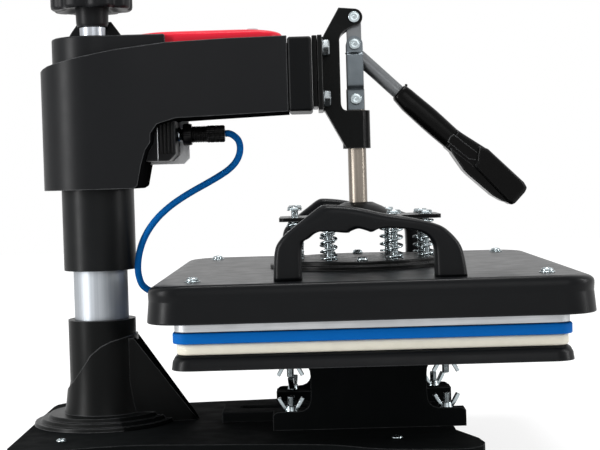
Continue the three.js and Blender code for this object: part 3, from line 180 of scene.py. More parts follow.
def edge_highlight_group():
    """A mask of the edges, broken up by noise, where a lighter colour is painted as a highlight."""
    name = "Rubbed edges"
    if name in bpy.data.node_groups:
        return bpy.data.node_groups[name]
    tree, inside, outside = group_tree(name, (("Width", EDGE_WIDTH), ("Amount", 0.5)), ("Mask",))
    link = tree.links.new
    rounded_normal = put(tree, "ShaderNodeBevel", samples=4)
    plain = put(tree, "ShaderNodeNewGeometry")
    along = put(tree, "ShaderNodeVectorMath", operation="DOT_PRODUCT")
    link(inside.outputs["Width"], rounded_normal.inputs["Radius"])
    link(rounded_normal.outputs["Normal"], along.inputs[0])
    link(plain.outputs["Normal"], along.inputs[1])
    edge = ranged(tree, along.outputs["Value"], 0.0, 1.0, *EDGE_BENDS)
    place = put(tree, "ShaderNodeTexCoord")
    patch = put(tree, "ShaderNodeTexNoise", Scale=EDGE_PATCHES, Detail=3.0)
    link(place.outputs["Object"], patch.inputs["Vector"])
    broken = put(tree, "ShaderNodeMath", operation="MULTIPLY")
    link(edge, broken.inputs[0])
    link(patch.outputs["Fac"], broken.inputs[1])
    share = put(tree, "ShaderNodeMath", operation="MULTIPLY", use_clamp=True)
    link(broken.outputs[0], share.inputs[0])
    link(inside.outputs["Amount"], share.inputs[1])
    link(share.outputs[0], outside.inputs["Mask"])
    return tree


def mixed(tree, share, first, second):
    """A colour mix whose ends are colours or sockets, driven by a share."""
    node = put(tree, "ShaderNodeMix", data_type="RGBA")
    factor, a, b = node.inputs[0], node.inputs[6], node.inputs[7]
    tree.links.new(share, factor)
    for socket, value in ((a, first), (b, second)):
        if isinstance(value, bpy.types.NodeSocket):
            tree.links.new(value, socket)
        else:
            socket.default_value = (*value, 1.0)
    return node.outputs[2]


def ranged(tree, value, lowest, highest, start, end):
    """A value moved from the span between start and end into a range."""
    node = put(tree, "ShaderNodeMapRange")
    for label, number in (
        ("From Min", start),
        ("From Max", end),
        ("To Min", lowest),
        ("To Max", highest),
    ):
        node.inputs[label].default_value = number
    tree.links.new(value, node.inputs["Value"])
    return node.outputs["Result"]


def finish(
    name,
    colour,
    rough,
    *,
    second=None,
    metal=0.0,
    grain=GRAIN_SIZE,
    blotch=BLOTCH_SIZE,
    bump=0.06,
    spread=0.08,
    edge_highlight=0.0,
    edge_highlight_colour=(0.2, 0.2, 0.2),
    shine=0.5,
    sheen=0.0,
    stretch=None,
):
    """A finish: two close colours under a grain, with painted highlights on its rounded edges where it has
    any.
    """
    if name in bpy.data.materials:
        return bpy.data.materials[name]
    material = bpy.data.materials.new(name)
    material.use_nodes = True
    material.diffuse_color = (*colour, 1.0)
    tree = material.node_tree
    shader = tree.nodes["Principled BSDF"]
    link = tree.links.new
    surface = put(tree, "ShaderNodeGroup", node_tree=grain_group())
    surface.inputs["Grain size"].default_value = grain
    surface.inputs["Blotch size"].default_value = blotch
    tone = ranged(tree, surface.outputs["Tone"], 0.0, 1.0, *TONE_SPAN)
    if stretch:
        place = put(tree, "ShaderNodeTexCoord")
        scaled = put(tree, "ShaderNodeMapping")
        scaled.inputs["Scale"].default_value = stretch
        lines = put(tree, "ShaderNodeTexNoise", Scale=1.0, Detail=4.0)
        link(place.outputs["Object"], scaled.inputs["Vector"])
        link(scaled.outputs["Vector"], lines.inputs["Vector"])
        tone = ranged(tree, lines.outputs["Fac"], 0.0, 1.0, *STREAK_SPAN)
    base = mixed(tree, tone, colour, second or tuple(c * SECOND_SHADE for c in colour))
    # the edge mask mixes in a lighter colour along rounded edges as a painted highlight
    if edge_highlight:
        edges = put(tree, "ShaderNodeGroup", node_tree=edge_highlight_group())
        edges.inputs["Amount"].default_value = edge_highlight
        base = mixed(tree, edges.outputs["Mask"], base, edge_highlight_colour)
    link(base, shader.inputs["Base Color"])
    link(
        ranged(tree, surface.outputs["Shine"], rough - spread, rough + spread, *TONE_SPAN),
        shader.inputs["Roughness"],
    )
    if bump:
        relief = put(tree, "ShaderNodeBump")
        relief.inputs["Strength"].default_value = bump
        relief.inputs["Distance"].default_value = BUMP_DEPTH
        link(surface.outputs["Height"], relief.inputs["Height"])
        link(relief.outputs["Normal"], shader.inputs["Normal"])
    shader.inputs["Metallic"].default_value = metal
    shader.inputs["Specular IOR Level"].default_value = shine
    shader.inputs["Sheen Weight"].default_value = sheen
    return material


# the edge colours in these finishes are painted highlights, lighter than the finish along its rounded edges
FINISHES = {
    "powder_coat": lambda: finish(
        "satin powder coat", (0.0040, 0.0046, 0.0048), 0.8, second=(0.0034, 0.004, 0.0042), grain=1500,
        bump=0.15, shine=0.02, edge_highlight=1.0, edge_highlight_colour=(0.09, 0.093, 0.096),
    ),
    "sleeve_coat": lambda: finish(
        "smooth powder coat", (0.0036, 0.0042, 0.0046), 0.36, second=(0.0032, 0.0038, 0.0042), grain=1500,
        bump=0.03, shine=0.11, spread=0.03, edge_highlight=0.3, edge_highlight_colour=(0.03, 0.031, 0.033),
    ),
    "casting": lambda: finish(
        "painted casting", (0.0030, 0.0034, 0.0034), 0.3, second=(0.0024, 0.0027, 0.0027), grain=620,
        bump=0.1, shine=0.06, spread=0.06, edge_highlight=1.2, edge_highlight_colour=(0.12, 0.12, 0.12),
    ),
    "socket_paint": lambda: finish(
        "smooth socket paint", (0.0026, 0.003, 0.003), 0.36, second=(0.0022, 0.0026, 0.0026), grain=900,
        bump=0.02, shine=0.08, spread=0.02, edge_highlight=1.6, edge_highlight_colour=(0.10, 0.103, 0.106),
    ),
    # a copy of the socket paint without reflection, put on faces by their direction as painted shade
    "painted_shade_paint": lambda: finish(
        "matt socket paint as painted shade", (0.0036, 0.004, 0.004), 0.9, second=(0.0032, 0.0036, 0.0036), grain=900,
        bump=0.05, shine=0.0,
    ),
    "black_plastic": lambda: finish(
        "moulded black plastic", (0.0040, 0.0044, 0.0052), 0.4, second=(0.0036, 0.004, 0.0048),
        grain=2600, bump=0.02, shine=0.12, spread=0.02, edge_highlight=1.4, edge_highlight_colour=(0.16, 0.165, 0.17),
    ),
    "cap_plastic": lambda: finish(
        "dark end cap plastic", (0.0034, 0.0038, 0.0042), 0.4, second=(0.003, 0.0034, 0.0038),
        grain=2600, bump=0.02, shine=0.06, spread=0.02, edge_highlight=1.8, edge_highlight_colour=(0.26, 0.265, 0.27),
    ),
    # a copy of the black plastic without reflection, put on faces by their direction as painted shade
    "painted_shade_plastic": lambda: finish(
        "matt plastic as painted shade", (0.0044, 0.0046, 0.005), 0.9, second=(0.004, 0.0042, 0.0046), grain=2600,
        bump=0.1, shine=0.0,
    ),
    "cover_plastic": lambda: finish(
        "grained cover plastic", (0.0030, 0.0034, 0.0040), 0.34, second=(0.0026, 0.003, 0.0036),
        grain=1700, bump=0.06, shine=0.11, spread=0.03, edge_highlight=1.0, edge_highlight_colour=(0.08, 0.083, 0.086),
    ),
    "grip_plastic": lambda: finish(
        "glossy grip plastic", (0.0016, 0.0016, 0.0016), 0.24, second=(0.0012, 0.0012, 0.0012), grain=2200,
        bump=0.01, shine=0.07, spread=0.02, edge_highlight=1.6, edge_highlight_colour=(0.2, 0.205, 0.21),
    ),
    "fitting_plastic": lambda: finish(
        "black fitting plastic", (0.003, 0.003, 0.0032), 0.3, second=(0.0026, 0.0026, 0.0028), grain=2200,
        bump=0.04, shine=0.14, spread=0.05,
    ),
    "display_glass": lambda: finish(
        "dark display window", (0.006, 0.008, 0.012), 0.08, second=(0.006, 0.008, 0.012), grain=2200,
        bump=0.0, shine=0.3, spread=0.02,
    ),
    "red_plastic": lambda: finish(
        "red gloss plastic", (0.66, 0.014, 0.034), 0.32, second=(0.63, 0.012, 0.030), grain=1800,
        bump=0.01, spread=0.02, shine=0.14,
    ),
    "key_plastic": lambda: finish(
        "light grey keys", (0.52, 0.54, 0.56), 0.5, second=(0.49, 0.51, 0.53), grain=2600, bump=0.02,
        shine=0.2,
    ),
    "rubber": lambda: finish("black rubber", (0.009, 0.009, 0.009), 0.78, grain=1200, bump=0.4, shine=0.2),
    "foam": lambda: finish(
        "cream sponge", (0.70, 0.670, 0.570), 0.92, second=(0.65, 0.622, 0.525), grain=1900, blotch=60,
        bump=0.5, shine=0.1, sheen=0.1,
    ),
    "silicone": lambda: finish(
        "blue silicone", (0.0, 0.100, 0.375), 0.55, second=(0.0, 0.094, 0.355), grain=1500, blotch=40,
        bump=0.1, shine=0.06,
    ),
    "lead_jacket": lambda: finish(
        "blue lead jacket", (0.003, 0.115, 0.40), 0.6, second=(0.003, 0.108, 0.375), grain=1300,
        bump=0.05, shine=0.03,
    ),
    "aluminium": lambda: finish(
        "bare aluminium", (0.44, 0.45, 0.46), 0.42, metal=1.0, grain=1500, bump=0.08,
        stretch=(30.0, 30.0, 900.0), second=(0.38, 0.39, 0.40),
    ),
    "pale_plate": lambda: finish(
        "pale plate paint", (0.72, 0.725, 0.73), 0.5, second=(0.69, 0.695, 0.70), grain=1500, bump=0.05,
        shine=0.3,
    ),
    "chrome": lambda: finish(
        "brushed plated steel", (0.34, 0.36, 0.385), 0.48, second=(0.29, 0.31, 0.33), metal=1.0,
        grain=1500, blotch=6, bump=0.01, spread=0.02, stretch=(500.0, 500.0, 2.0),
    ),
    "collar_steel": lambda: finish(
        "bright collar steel", (0.42, 0.44, 0.47), 0.3, second=(0.28, 0.3, 0.33), metal=1.0,
        grain=1500, blotch=6, bump=0.01, spread=0.02, stretch=(420.0, 420.0, 2.0),
    ),
    "nickel": lambda: finish(
        "warm polished shaft", (0.215, 0.190, 0.162), 0.36, second=(0.195, 0.172, 0.146), metal=1.0,
        grain=900, blotch=6, bump=0.0, spread=0.01,
    ),
    "zinc": lambda: finish(
        "bluish zinc plate", (0.110, 0.126, 0.138), 0.36, second=(0.086, 0.1, 0.11), metal=0.9,
        grain=800, blotch=70, bump=0.04, spread=0.04,
    ),
    "bright_zinc": lambda: finish(
        "bright zinc plate", (0.42, 0.47, 0.49), 0.24, second=(0.30, 0.345, 0.36), metal=1.0,
        grain=800, blotch=90, bump=0.05, spread=0.08,
    ),
    "bolt_steel": lambda: finish(
        "plated bolt steel", (0.26, 0.28, 0.29), 0.3, second=(0.20, 0.22, 0.23), metal=1.0,
        grain=800, blotch=90, bump=0.05, spread=0.06,
    ),
    "spring_steel": lambda: finish(
        "zinc-plated wire", (0.40, 0.45, 0.47), 0.24, second=(0.27, 0.315, 0.33), metal=1.0,
        grain=1200, blotch=110, bump=0.04, spread=0.08,
    ),
    "grey_paint": lambda: finish(
        "grey satin tube", (0.135, 0.142, 0.148), 0.34, second=(0.12, 0.126, 0.132), metal=0.6,
        grain=1300, bump=0.02, edge_highlight=0.3, edge_highlight_colour=(0.3, 0.3, 0.3),
    ),
}


def finished(name):
    """One of the finishes, by its name in the table."""
    return FINISHES[name]()


# making pieces
WELD_DISTANCE = 1e-5
FLAT_ANGLE = math.radians(0.6)
NORMAL_WEIGHT = 60
SHARP_ANGLE = 50

# threads and screw heads, in shares of their radius and height
THREAD_ROOT = 0.86
HEX_CHAMFER = 0.16
HEX_TOP = 0.86
HEX_SIDES = 6
WASHER_SIDES = 40
CROSS_PROFILE = (
    (1.0, 0.0), (1.0, 0.3), (0.94, 0.62), (0.78, 0.88), (0.6, 0.97), (0.5, 1.0), (0.4, 1.0), (0.3, 1.0),
    (0.2, 1.0), (0.1, 1.0),
)
CROSS_SIDES = 48
CROSS_ARM = 0.13
CROSS_REACH = 0.55
CROSS_DEPTH = 0.55


def smooth(mesh, material):
    """Shades a mesh smoothly and gives it its only finish."""
    for face in mesh.polygons:
        face.use_smooth = True
    mesh.materials.clear()
    mesh.materials.append(material)


def shown(name, mesh, body, material, replaces=()):
    """A mesh as a smooth piece on a body, with its finish."""
    smooth(mesh, material)
    piece = bpy.data.objects.new(name, mesh)
    bpy.context.scene.collection.objects.link(piece)
    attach(piece, body)
    if replaces:
        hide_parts(*replaces)
    return piece


def plated(name, mesh, body, replaces=()):
    """A mesh as a small bright fixing on a body."""
    return shown(name, mesh, body, finished("bright_zinc"), replaces)


def soften(piece, width, segments=3, angle=32.0):
    """Rounds the hard edges and levels the shading between them."""
    bevel = piece.modifiers.new("Rounded edges", "BEVEL")
    bevel.width = width
    bevel.segments = segments
    bevel.limit_method = "ANGLE"
    bevel.angle_limit = math.radians(angle)
    bevel.harden_normals = True
    bevel.use_clamp_overlap = True
    normals = piece.modifiers.new("Even shading", "WEIGHTED_NORMAL")
    normals.keep_sharp = False
    normals.weight = NORMAL_WEIGHT
    return piece


def dress(node, slot, width, segments=3, material=None, angle=32.0):
    """Keeps a CAD node and gives it its finish, rounded edges and smooth curves."""
    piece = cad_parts[node]
    mesh = piece.data
    if "custom_normal" in mesh.attributes:
        mesh.attributes.remove(mesh.attributes["custom_normal"])
    smooth(mesh, material or finished(slot))
    weld = piece.modifiers.new("Joined corners", "WELD")
    weld.merge_threshold = WELD_DISTANCE
    flat = piece.modifiers.new("Flat faces", "DECIMATE")
    flat.decimate_type = "DISSOLVE"
    flat.angle_limit = FLAT_ANGLE
    return soften(piece, width, segments, angle)


def second_finish(piece, material, where):
    """Gives the faces whose direction passes a test a second finish."""
    piece.data.materials.append(material)
    for face in piece.data.polygons:
        if where(face.normal):
            face.material_index = 1


def edge_radius():
    """The rounding of the edges that the user has set."""
    return bpy.context.scene.heat_press_sizes.edge_radius


def meshed(name, points, faces):
    """A mesh from points and faces, with its faces turned outwards."""
    mesh = bpy.data.meshes.new(name)
    mesh.from_pydata([tuple(p) for p in points], [], faces)
    solid = bmesh.new()
    solid.from_mesh(mesh)
    bmesh.ops.recalc_face_normals(solid, faces=solid.faces)
    solid.to_mesh(mesh)
    solid.free()
    return mesh


def lofted(name, rings):
    """A closed skin over rings of equal point counts."""
    count = len(rings[0])
    faces = []
    for k in range(len(rings) - 1):
        for i in range(count):
            j = (i + 1) % count
            faces.append((k * count + i, k * count + j, (k + 1) * count + j, (k + 1) * count + i))
    faces.append(tuple(range(count)))
    faces.append(tuple((len(rings) - 1) * count + i for i in range(count)))
    return meshed(name, [p for ring in rings for p in ring], faces)


def turned(name, profile, centre, sides=48, axis="Z", wave=None):
    """A profile of radius and height round an axis; wave changes the radius with the angle."""
    rings = []
    for radius, along in profile:
        ring = []
        for i in range(sides):
            angle = 2 * math.pi * i / sides
            r = radius * (wave(angle) if wave else 1.0)
            a, b = r * math.cos(angle), r * math.sin(angle)
            turn = {"Z": (a, b, along), "X": (along, a, b), "Y": (a, along, b)}[axis]
            ring.append(Vector(turn) + centre)
        rings.append(ring)
    return lofted(name, rings)


def disc(name, radius, start, height, centre, axis="Z", sides=WASHER_SIDES):
    """A flat round washer."""
    top = start + height
    return turned(name, [(0, start), (radius, start), (radius, top), (0, top)], centre, sides, axis)


def curved(points, steps):
    """A smooth curve through points, as evenly shared steps on each span."""
    made = []
    for k in range(len(points) - 1):
        p = [points[min(max(k + d, 0), len(points) - 1)] for d in (-1, 0, 1, 2)]
        for i in range(steps):
            t = i / steps
            made.append(
                0.5
                * (
                    2 * p[1]
                    + (p[2] - p[0]) * t
                    + (2 * p[0] - 5 * p[1] + 4 * p[2] - p[3]) * t**2
                    + (3 * p[1] - p[0] - 3 * p[2] + p[3]) * t**3
                )
            )
    made.append(points[-1])
    return made


def heading(path, k):
    """The direction of a path at one of its points."""
    return (path[min(k + 1, len(path) - 1)] - path[max(k - 1, 0)]).normalized()


def tube(name, path, radius, sides):
    """A round tube along a path, carried without twist."""
    rings = []
    side = Vector((0, 1, 0))
    for i, point in enumerate(path):
        ahead = heading(path, i)
        side = (side - ahead * side.dot(ahead)).normalized()
        other = ahead.cross(side)
        angles = (2 * math.pi * k / sides for k in range(sides))
        rings.append([point + (side * math.cos(a) + other * math.sin(a)) * radius for a in angles])
    return lofted(name, rings)


def rounded_ring(width, depth, corner, centre, z, steps):
    """A level rounded rectangle."""
    ring = []
    for sx, sy, start in ((1, 1, 0), (-1, 1, 1), (-1, -1, 2), (1, -1, 3)):
        for i in range(steps + 1):
            angle = math.pi / 2 * (start + i / steps)
            x = centre.x + sx * (width / 2 - corner) + corner * math.cos(angle)
            y = centre.y + sy * (depth / 2 - corner) + corner * math.sin(angle)
            ring.append(Vector((x, y, z)))
    return ring


def rounded(centre, first, second, power, count):
    """A ring round a centre, from half sizes along two directions, between a box and an ellipse."""
    ring = []
    for i in range(count):
        angle = 2 * math.pi * (i + 0.5) / count
        c, d = math.cos(angle), math.sin(angle)
        a = math.copysign(abs(c) ** (2 / power), c)
        b = math.copysign(abs(d) ** (2 / power), d)
        ring.append(centre + first * a + second * b)
    return ring


def thread(radius, start, end, pitch=0.001):
    """A profile of radius and height whose radius goes in and out like a thread."""
    count = max(int(abs(end - start) / pitch), 1)
    step = (end - start) / count
    root = radius * THREAD_ROOT
    profile = [(0.0, start)]
    for i in range(count):
        profile += [(root, start + i * step), (radius, start + (i + 0.5) * step)]
    return profile + [(root, end), (0.0, end)]


def hexagon(radius, height, start):
    """A profile for a six-sided head with chamfered corners."""
    top = start + height
    corner = (radius, top - HEX_CHAMFER * radius)
    return [(0, start), (radius, start), corner, (HEX_TOP * radius, top), (0, top)]


def crossed(name, radius, height, centre, turn=0.5):
    """A pan head with a cross recess."""
    rings = []
    for share, rise in CROSS_PROFILE:
        ring = []
        for i in range(CROSS_SIDES):
            angle = 2 * math.pi * i / CROSS_SIDES
            x, y = share * math.cos(angle), share * math.sin(angle)
            in_cross = share < CROSS_REACH and min(abs(x), abs(y)) < CROSS_ARM
            z = height * (rise - (CROSS_DEPTH if in_cross else 0.0))
            across = radius * share * Vector((math.cos(angle + turn), math.sin(angle + turn), 0))
            ring.append(centre + across + Vector((0, 0, z)))
        rings.append(ring)
    return lofted(name, rings)


def merged(name, meshes):
    """Several meshes as one."""
    whole = bmesh.new()
    for mesh in meshes:
        whole.from_mesh(mesh)
        bpy.data.meshes.remove(mesh)
    made = bpy.data.meshes.new(name)
    whole.to_mesh(made)
    whole.free()
    return made


# sizes and colours
class HeatPressSizes(bpy.types.PropertyGroup):
    """Sizes of the fine details that a user may change."""

    edge_radius: bpy.props.FloatProperty(
        name="Edge radius",
        description="How far the edges of sheet and moulded parts are rounded",
        default=0.0009,
        **LONG,
    )
    camera_distance: bpy.props.FloatProperty(
        name="Camera distance",
        description="How far in front of the platen's middle the camera stands",
        default=1.293,
        **LONG,
    )
    camera_height: bpy.props.FloatProperty(
        name="Camera height",
        description="The camera's height above the bench",
        default=0.253,
        **LONG,
    )
    spring_wire: bpy.props.FloatProperty(
        name="Spring wire",
        description="Diameter of the wire of the eight springs",
        default=0.0021,
        **LONG,
    )
    lead_diameter: bpy.props.FloatProperty(
        name="Lead diameter",
        description="Diameter of the blue lead to the heating platen",
        default=0.006,
        **LONG,
    )


class HeatPressColours(bpy.types.PropertyGroup):
    """Colours that a user may change."""

    backdrop: bpy.props.FloatVectorProperty(
        name="Backdrop",
        description="Colour of the surroundings",
        default=(1.0, 1.0, 1.0),
        subtype="COLOR",
        min=0.0,
        max=1.0,
    )


# the stage: the camera, the bench and the light; each lamp has a name, a place, a size and a power in watts
EYE_LEFT = 0.0445
SENSOR_MM = 36.0
LENS_MM = 87.0
VIEW_AHEAD = (-0.00784, 1.0, -0.03248)
CAMERA_LEAN = math.radians(1.66)
BENCH_HALF = 4
BENCH_DROP = 0.0005
BENCH_TONES = ((0.90, 0.90, 0.90), (0.92, 0.92, 0.92))
BENCH_SEEN = (0.32, 0.32, 0.32)
NEAR_GLOW = (0.78, 0.78, 0.78)
GLOW_SPAN = (0.35, 1.1)
WORLD_LIGHT = 0.4
LAMP_AIM = (0.0, 0.0, 0.22)
LAMPS = (
    ("left softbox", (-1.5, -0.8, 0.5), (0.1, 1.2), 26.0),
    ("right softbox", (1.5, -0.35, 0.7), (0.2, 1.0), 12.0),
    ("top softbox", (0.1, -0.1, 1.7), (0.9, 0.24), 17.0),
    ("front fill", (0.35, -2.2, 0.9), (0.8, 0.6), 4.5),
)


def lamp(name, place, size, power):
    """A rectangular area lamp aimed at the press."""
    data = bpy.data.lights.new(name, "AREA")
    data.shape = "RECTANGLE"
    data.size, data.size_y = size
    data.energy = power
    light = bpy.data.objects.new(name, data)
    bpy.context.scene.collection.objects.link(light)
    light.location = place
    light.rotation_euler = (Vector(LAMP_AIM) - Vector(place)).to_track_quat("-Z", "Y").to_euler()


def background_rays(tree):
    """One for the rays that show the background, straight on, mirrored or through glass."""
    rays = put(tree, "ShaderNodeLightPath")
    either = put(tree, "ShaderNodeMath", operation="MAXIMUM")
    tree.links.new(rays.outputs["Is Glossy Ray"], either.inputs[0])
    tree.links.new(rays.outputs["Is Transmission Ray"], either.inputs[1])
    seen = put(tree, "ShaderNodeMath", operation="MAXIMUM")
    tree.links.new(rays.outputs["Is Camera Ray"], seen.inputs[0])
    tree.links.new(either.outputs[0], seen.inputs[1])
    return seen.outputs[0]


def bench_paper():
    """White paper that shows the press's shadow and fades into the white surroundings."""
    paper = bpy.data.materials.new("white paper")
    paper.use_nodes = True
    tree = paper.node_tree
    shader = tree.nodes["Principled BSDF"]
    shader.inputs["Roughness"].default_value = 0.9
    shader.inputs["Specular IOR Level"].default_value = 0.0
    seen = background_rays(tree)
    mottle = put(tree, "ShaderNodeTexNoise", Scale=6.0)
    lit = mixed(tree, mottle.outputs["Fac"], *BENCH_TONES)
    tree.links.new(mixed(tree, seen, lit, BENCH_SEEN), shader.inputs["Base Color"])
    place = put(tree, "ShaderNodeTexCoord")
    away = put(tree, "ShaderNodeVectorMath", operation="LENGTH")
    tree.links.new(place.outputs["Object"], away.inputs[0])
    far = ranged(tree, away.outputs["Value"], 0.0, 1.0, *GLOW_SPAN)
    glow = mixed(tree, far, NEAR_GLOW, (1.0, 1.0, 1.0))
    tree.links.new(mixed(tree, seen, (0.0, 0.0, 0.0), glow), shader.inputs["Emission Color"])
    shader.inputs["Emission Strength"].default_value = 1.0
    return paper


def surroundings(colour):
    """A world of one colour behind the press that lights it at a plain level."""
    world = bpy.data.worlds.new("Surroundings")
    world.use_nodes = True
    tree = world.node_tree
    tree.nodes.clear()
    link = tree.links.new
    lit = put(tree, "ShaderNodeBackground", Strength=WORLD_LIGHT)
    white = put(tree, "ShaderNodeBackground", Strength=1.0)
    white.inputs["Color"].default_value = (*colour, 1.0)
    mix = put(tree, "ShaderNodeMixShader")
    link(background_rays(tree), mix.inputs[0])
    link(lit.outputs[0], mix.inputs[1])
    link(white.outputs[0], mix.inputs[2])
    link(mix.outputs[0], put(tree, "ShaderNodeOutputWorld").inputs["Surface"])
    return world


class HEATPRESS_OT_stage(bpy.types.Operator):
    """Sets the camera, the lamps, the pale floor and the white surroundings"""

    bl_idname = "heatpress.stage"
    bl_label = "Stage"

    def execute(self, context):
        scene = context.scene
        sizes = scene.heat_press_sizes
        eye = Vector((middle("silicone_pad").x - EYE_LEFT, -sizes.camera_distance, sizes.camera_height))
        data = bpy.data.cameras.new("Camera")
        data.sensor_width = SENSOR_MM
        data.lens = LENS_MM
        camera = bpy.data.objects.new("Camera", data)
        scene.collection.objects.link(camera)
        ahead = Vector(VIEW_AHEAD).normalized()
        upward = Vector((math.sin(CAMERA_LEAN), 0.0, math.cos(CAMERA_LEAN)))
        right = ahead.cross(upward).normalized()
        upward = right.cross(ahead)
        turn = Matrix((right, upward, -ahead)).transposed().to_4x4()
        camera.matrix_world = Matrix.Translation(eye) @ turn
        scene.camera = camera

        quarters = ((-1, -1), (1, -1), (1, 1), (-1, 1))
        corners = [(x * BENCH_HALF, y * BENCH_HALF, -BENCH_DROP) for x, y in quarters]
        mesh = meshed("bench_top", corners, [(0, 1, 2, 3)])
        floor = bpy.data.objects.new("bench_top", mesh)
        scene.collection.objects.link(floor)
        mesh.materials.append(bench_paper())

        scene.world = surroundings(scene.heat_press_colours.backdrop)
        for name, place, size, power in LAMPS:
            lamp(name, place, size, power)
        scene.view_settings.view_transform = "Standard"
        return {"FINISHED"}


# the lead
LEAD_STEPS = 5
LEAD_SIDES = 16


def lead_route():
    """The route of the blue lead, from the connector's back nut to the cover's gland."""
    return rows(
        (-118.8, 0, 294.4),
        (-115.8, 0, 294.4),
        (-112.0, 0, 292.8),
        (-107.6, 0, 288.4),
        (-106.0, 0, 282.4),
        (-106.9, 0, 275.4),
        (-110.4, -0.4, 268.6),
        (-116.6, -1.0, 262.4),
        (-125.2, -1.8, 256.8),
        (-136.0, -3.0, 250.8),
        (-147.8, -4.2, 244.6),
        (-159.6, -5.4, 237.8),
        (-170.6, -6.8, 230.2),
        (-180.6, -8.4, 221.2),
        (-188.8, -9.8, 210.8),
        (-194.8, -10.8, 199.2),
        (-198.2, -11.2, 187.0),
        (-199.3, -10.2, 176.0),
        (-198.5, -7.6, 168.0),
        (-196.7, -4.6, 162.2),
        (-192.7, -1.6, 157.7),
        (-189.3, 0, 156.0),
        (-186.3, 0, 156.0),
    )


class HEATPRESS_OT_lead(bpy.types.Operator):
    """Makes the blue lead that feeds the heating platen"""

    bl_idname = "heatpress.lead"
    bl_label = "Platen lead"

    def execute(self, context):
        diameter = context.scene.heat_press_sizes.lead_diameter
        route = curved(lead_route(), LEAD_STEPS)
        mesh = tube("blue_lead", route, diameter / 2, LEAD_SIDES)
        smooth(mesh, finished("lead_jacket"))
        piece = bpy.data.objects.new("blue_lead", mesh)
        context.scene.collection.objects.link(piece)
        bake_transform(piece)
        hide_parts("platen_lead")
        return {"FINISHED"}


# the base
CORNERS = ("front_left", "front_right", "rear_left", "rear_right")

# the base's screws, placed by shares of its width and depth
BASE_SCREWS = (("base_screw_left", 0.105, 0.24), ("base_screw_right", 0.823, 0.161))
BASE_SCREW_SIZE = (0.0045, 0.0022)

# how much wider than other edges these are rounded, and the least angle that is rounded on the bed
SHEET_ROUNDING = 3
BED_ROUNDING = 2.2
BED_ANGLE = 40


def slopes_right(normal):
    """Whether a face of the socket looks up and away from the post, as the gusset's ridge does, where a
    matt finish is painted as shade.
    """
    return normal.x > 0.4 and normal.z > 0.3


class HEATPRESS_OT_base(bpy.types.Operator):
    """Dresses the base, its feet, the post and its socket, the rail, the pedestal and the lower platen"""

    bl_idname = "heatpress.base"
    bl_label = "Base and post"

    def execute(self, context):
        edge = edge_radius()
        dress("base_plate", "powder_coat", SHEET_ROUNDING * edge, 4)
        for corner in CORNERS:
            dress("foot_" + corner, "rubber", edge)
        socket = dress("post_socket", "casting", edge, 2, finished("socket_paint"))
        # the socket's faces that slope up to the right get the matt copy as painted shade
        second_finish(socket, finished("painted_shade_paint"), slopes_right)
        dress("post_tube", "chrome", edge / 2)
        dress("slotted_rail", "powder_coat", edge)
        dress("pedestal", "powder_coat", edge)
        dress("lower_platen", "powder_coat", BED_ROUNDING * edge, 4, finished("cover_plastic"), BED_ANGLE)
        for name, x, y in BASE_SCREWS:
            place = spot("base_plate", x, y, 0.0)
            place.z = low("slotted_rail").z
            plated(name, crossed(name, *BASE_SCREW_SIZE, place), "base")
        return {"FINISHED"}


# the pads: name, node, slot, soft edge, unevenness and fill
PADS = (
    ("sponge", "foam_pad", "foam", 0.0016, 0.0003, 0.9),
    ("blue_sheet", "silicone_pad", "silicone", 0.0009, 0.0001, 1.0),
)
PAD_CORNER = 0.012
PAD_CORNER_STEPS = 8
PAD_EDGE_SHARES = (0.0, 0.12, 0.38, 1.0)
PAD_SPACING = 0.01
PAD_WAVES = 60


def pad_mesh(name, node, soft, wander):
    """A slab with soft edges whose sides wander a little."""
    a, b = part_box(node)
    centre = middle(node)
    rings = []
    for share in PAD_EDGE_SHARES:
        angle = share * math.pi / 2
        rings.append((soft * (1 - math.sin(angle)), a.z + soft * (1 - math.cos(angle))))
    rings += [(inset, a.z + b.z - z) for inset, z in reversed(rings)]
    levels = []
    for inset, z in rings:
        size = b - a - Vector((2 * inset, 2 * inset, 0))
        outer = rounded_ring(size.x, size.y, PAD_CORNER - inset, centre, z, PAD_CORNER_STEPS)
        ring = []
        for start, end in zip(outer, outer[1:] + outer[:1]):
            pieces = max(1, round((end - start).length / PAD_SPACING))
            ring += [start.lerp(end, k / pieces) for k in range(pieces)]
        for point in ring:
            inward = Vector((centre.x - point.x, centre.y - point.y, 0)).normalized()
            point += inward * wander * (1 + noise.noise(point * PAD_WAVES))
        levels.append(ring)
    return lofted(name, levels)


class HEATPRESS_OT_pads(bpy.types.Operator):
    """Makes the cream sponge and the blue silicone sheet on the lower platen"""

    bl_idname = "heatpress.pads"
    bl_label = "Pads"

    def execute(self, context):
        for name, node, slot, soft, wander, fill in PADS:
            mesh = pad_mesh(name, node, soft, wander)
            piece = shown(name, mesh, "base", finished(slot), (node,))
        return {"FINISHED"}


# the wing nuts
STUD_RADIUS = 0.0031
STUD_SIDES = 20
STUD_OVERHANG = 0.0236
NUT_HUB = (
    (0.0032, 0), (0.0052, 0), (0.0054, 0.0006), (0.0050, 0.0022), (0.0043, 0.0052), (0.0032, 0.0054),
)
NUT_HUB_SIDES = 32
NUT_EDGE = 0.0003
NUT_TURNS = {"base_rear_left": 78, "base_rear_right": 24, "bed_rear_right": -20, "base_front_right": 8}
WING_PATH_SHARES = ((0.1, 0.12), (0.3, 0.13), (0.5, 0.38), (0.7, 0.7), (0.86, 0.985))
WING_HALVES = ((0.0012, 0.0020), (0.0015, 0.0024), (0.0016, 0.0026), (0.0017, 0.0027), (0.0016, 0.0026))
WING_STEPS = 4
WING_POWER = 6.0
WING_SIDES = 20


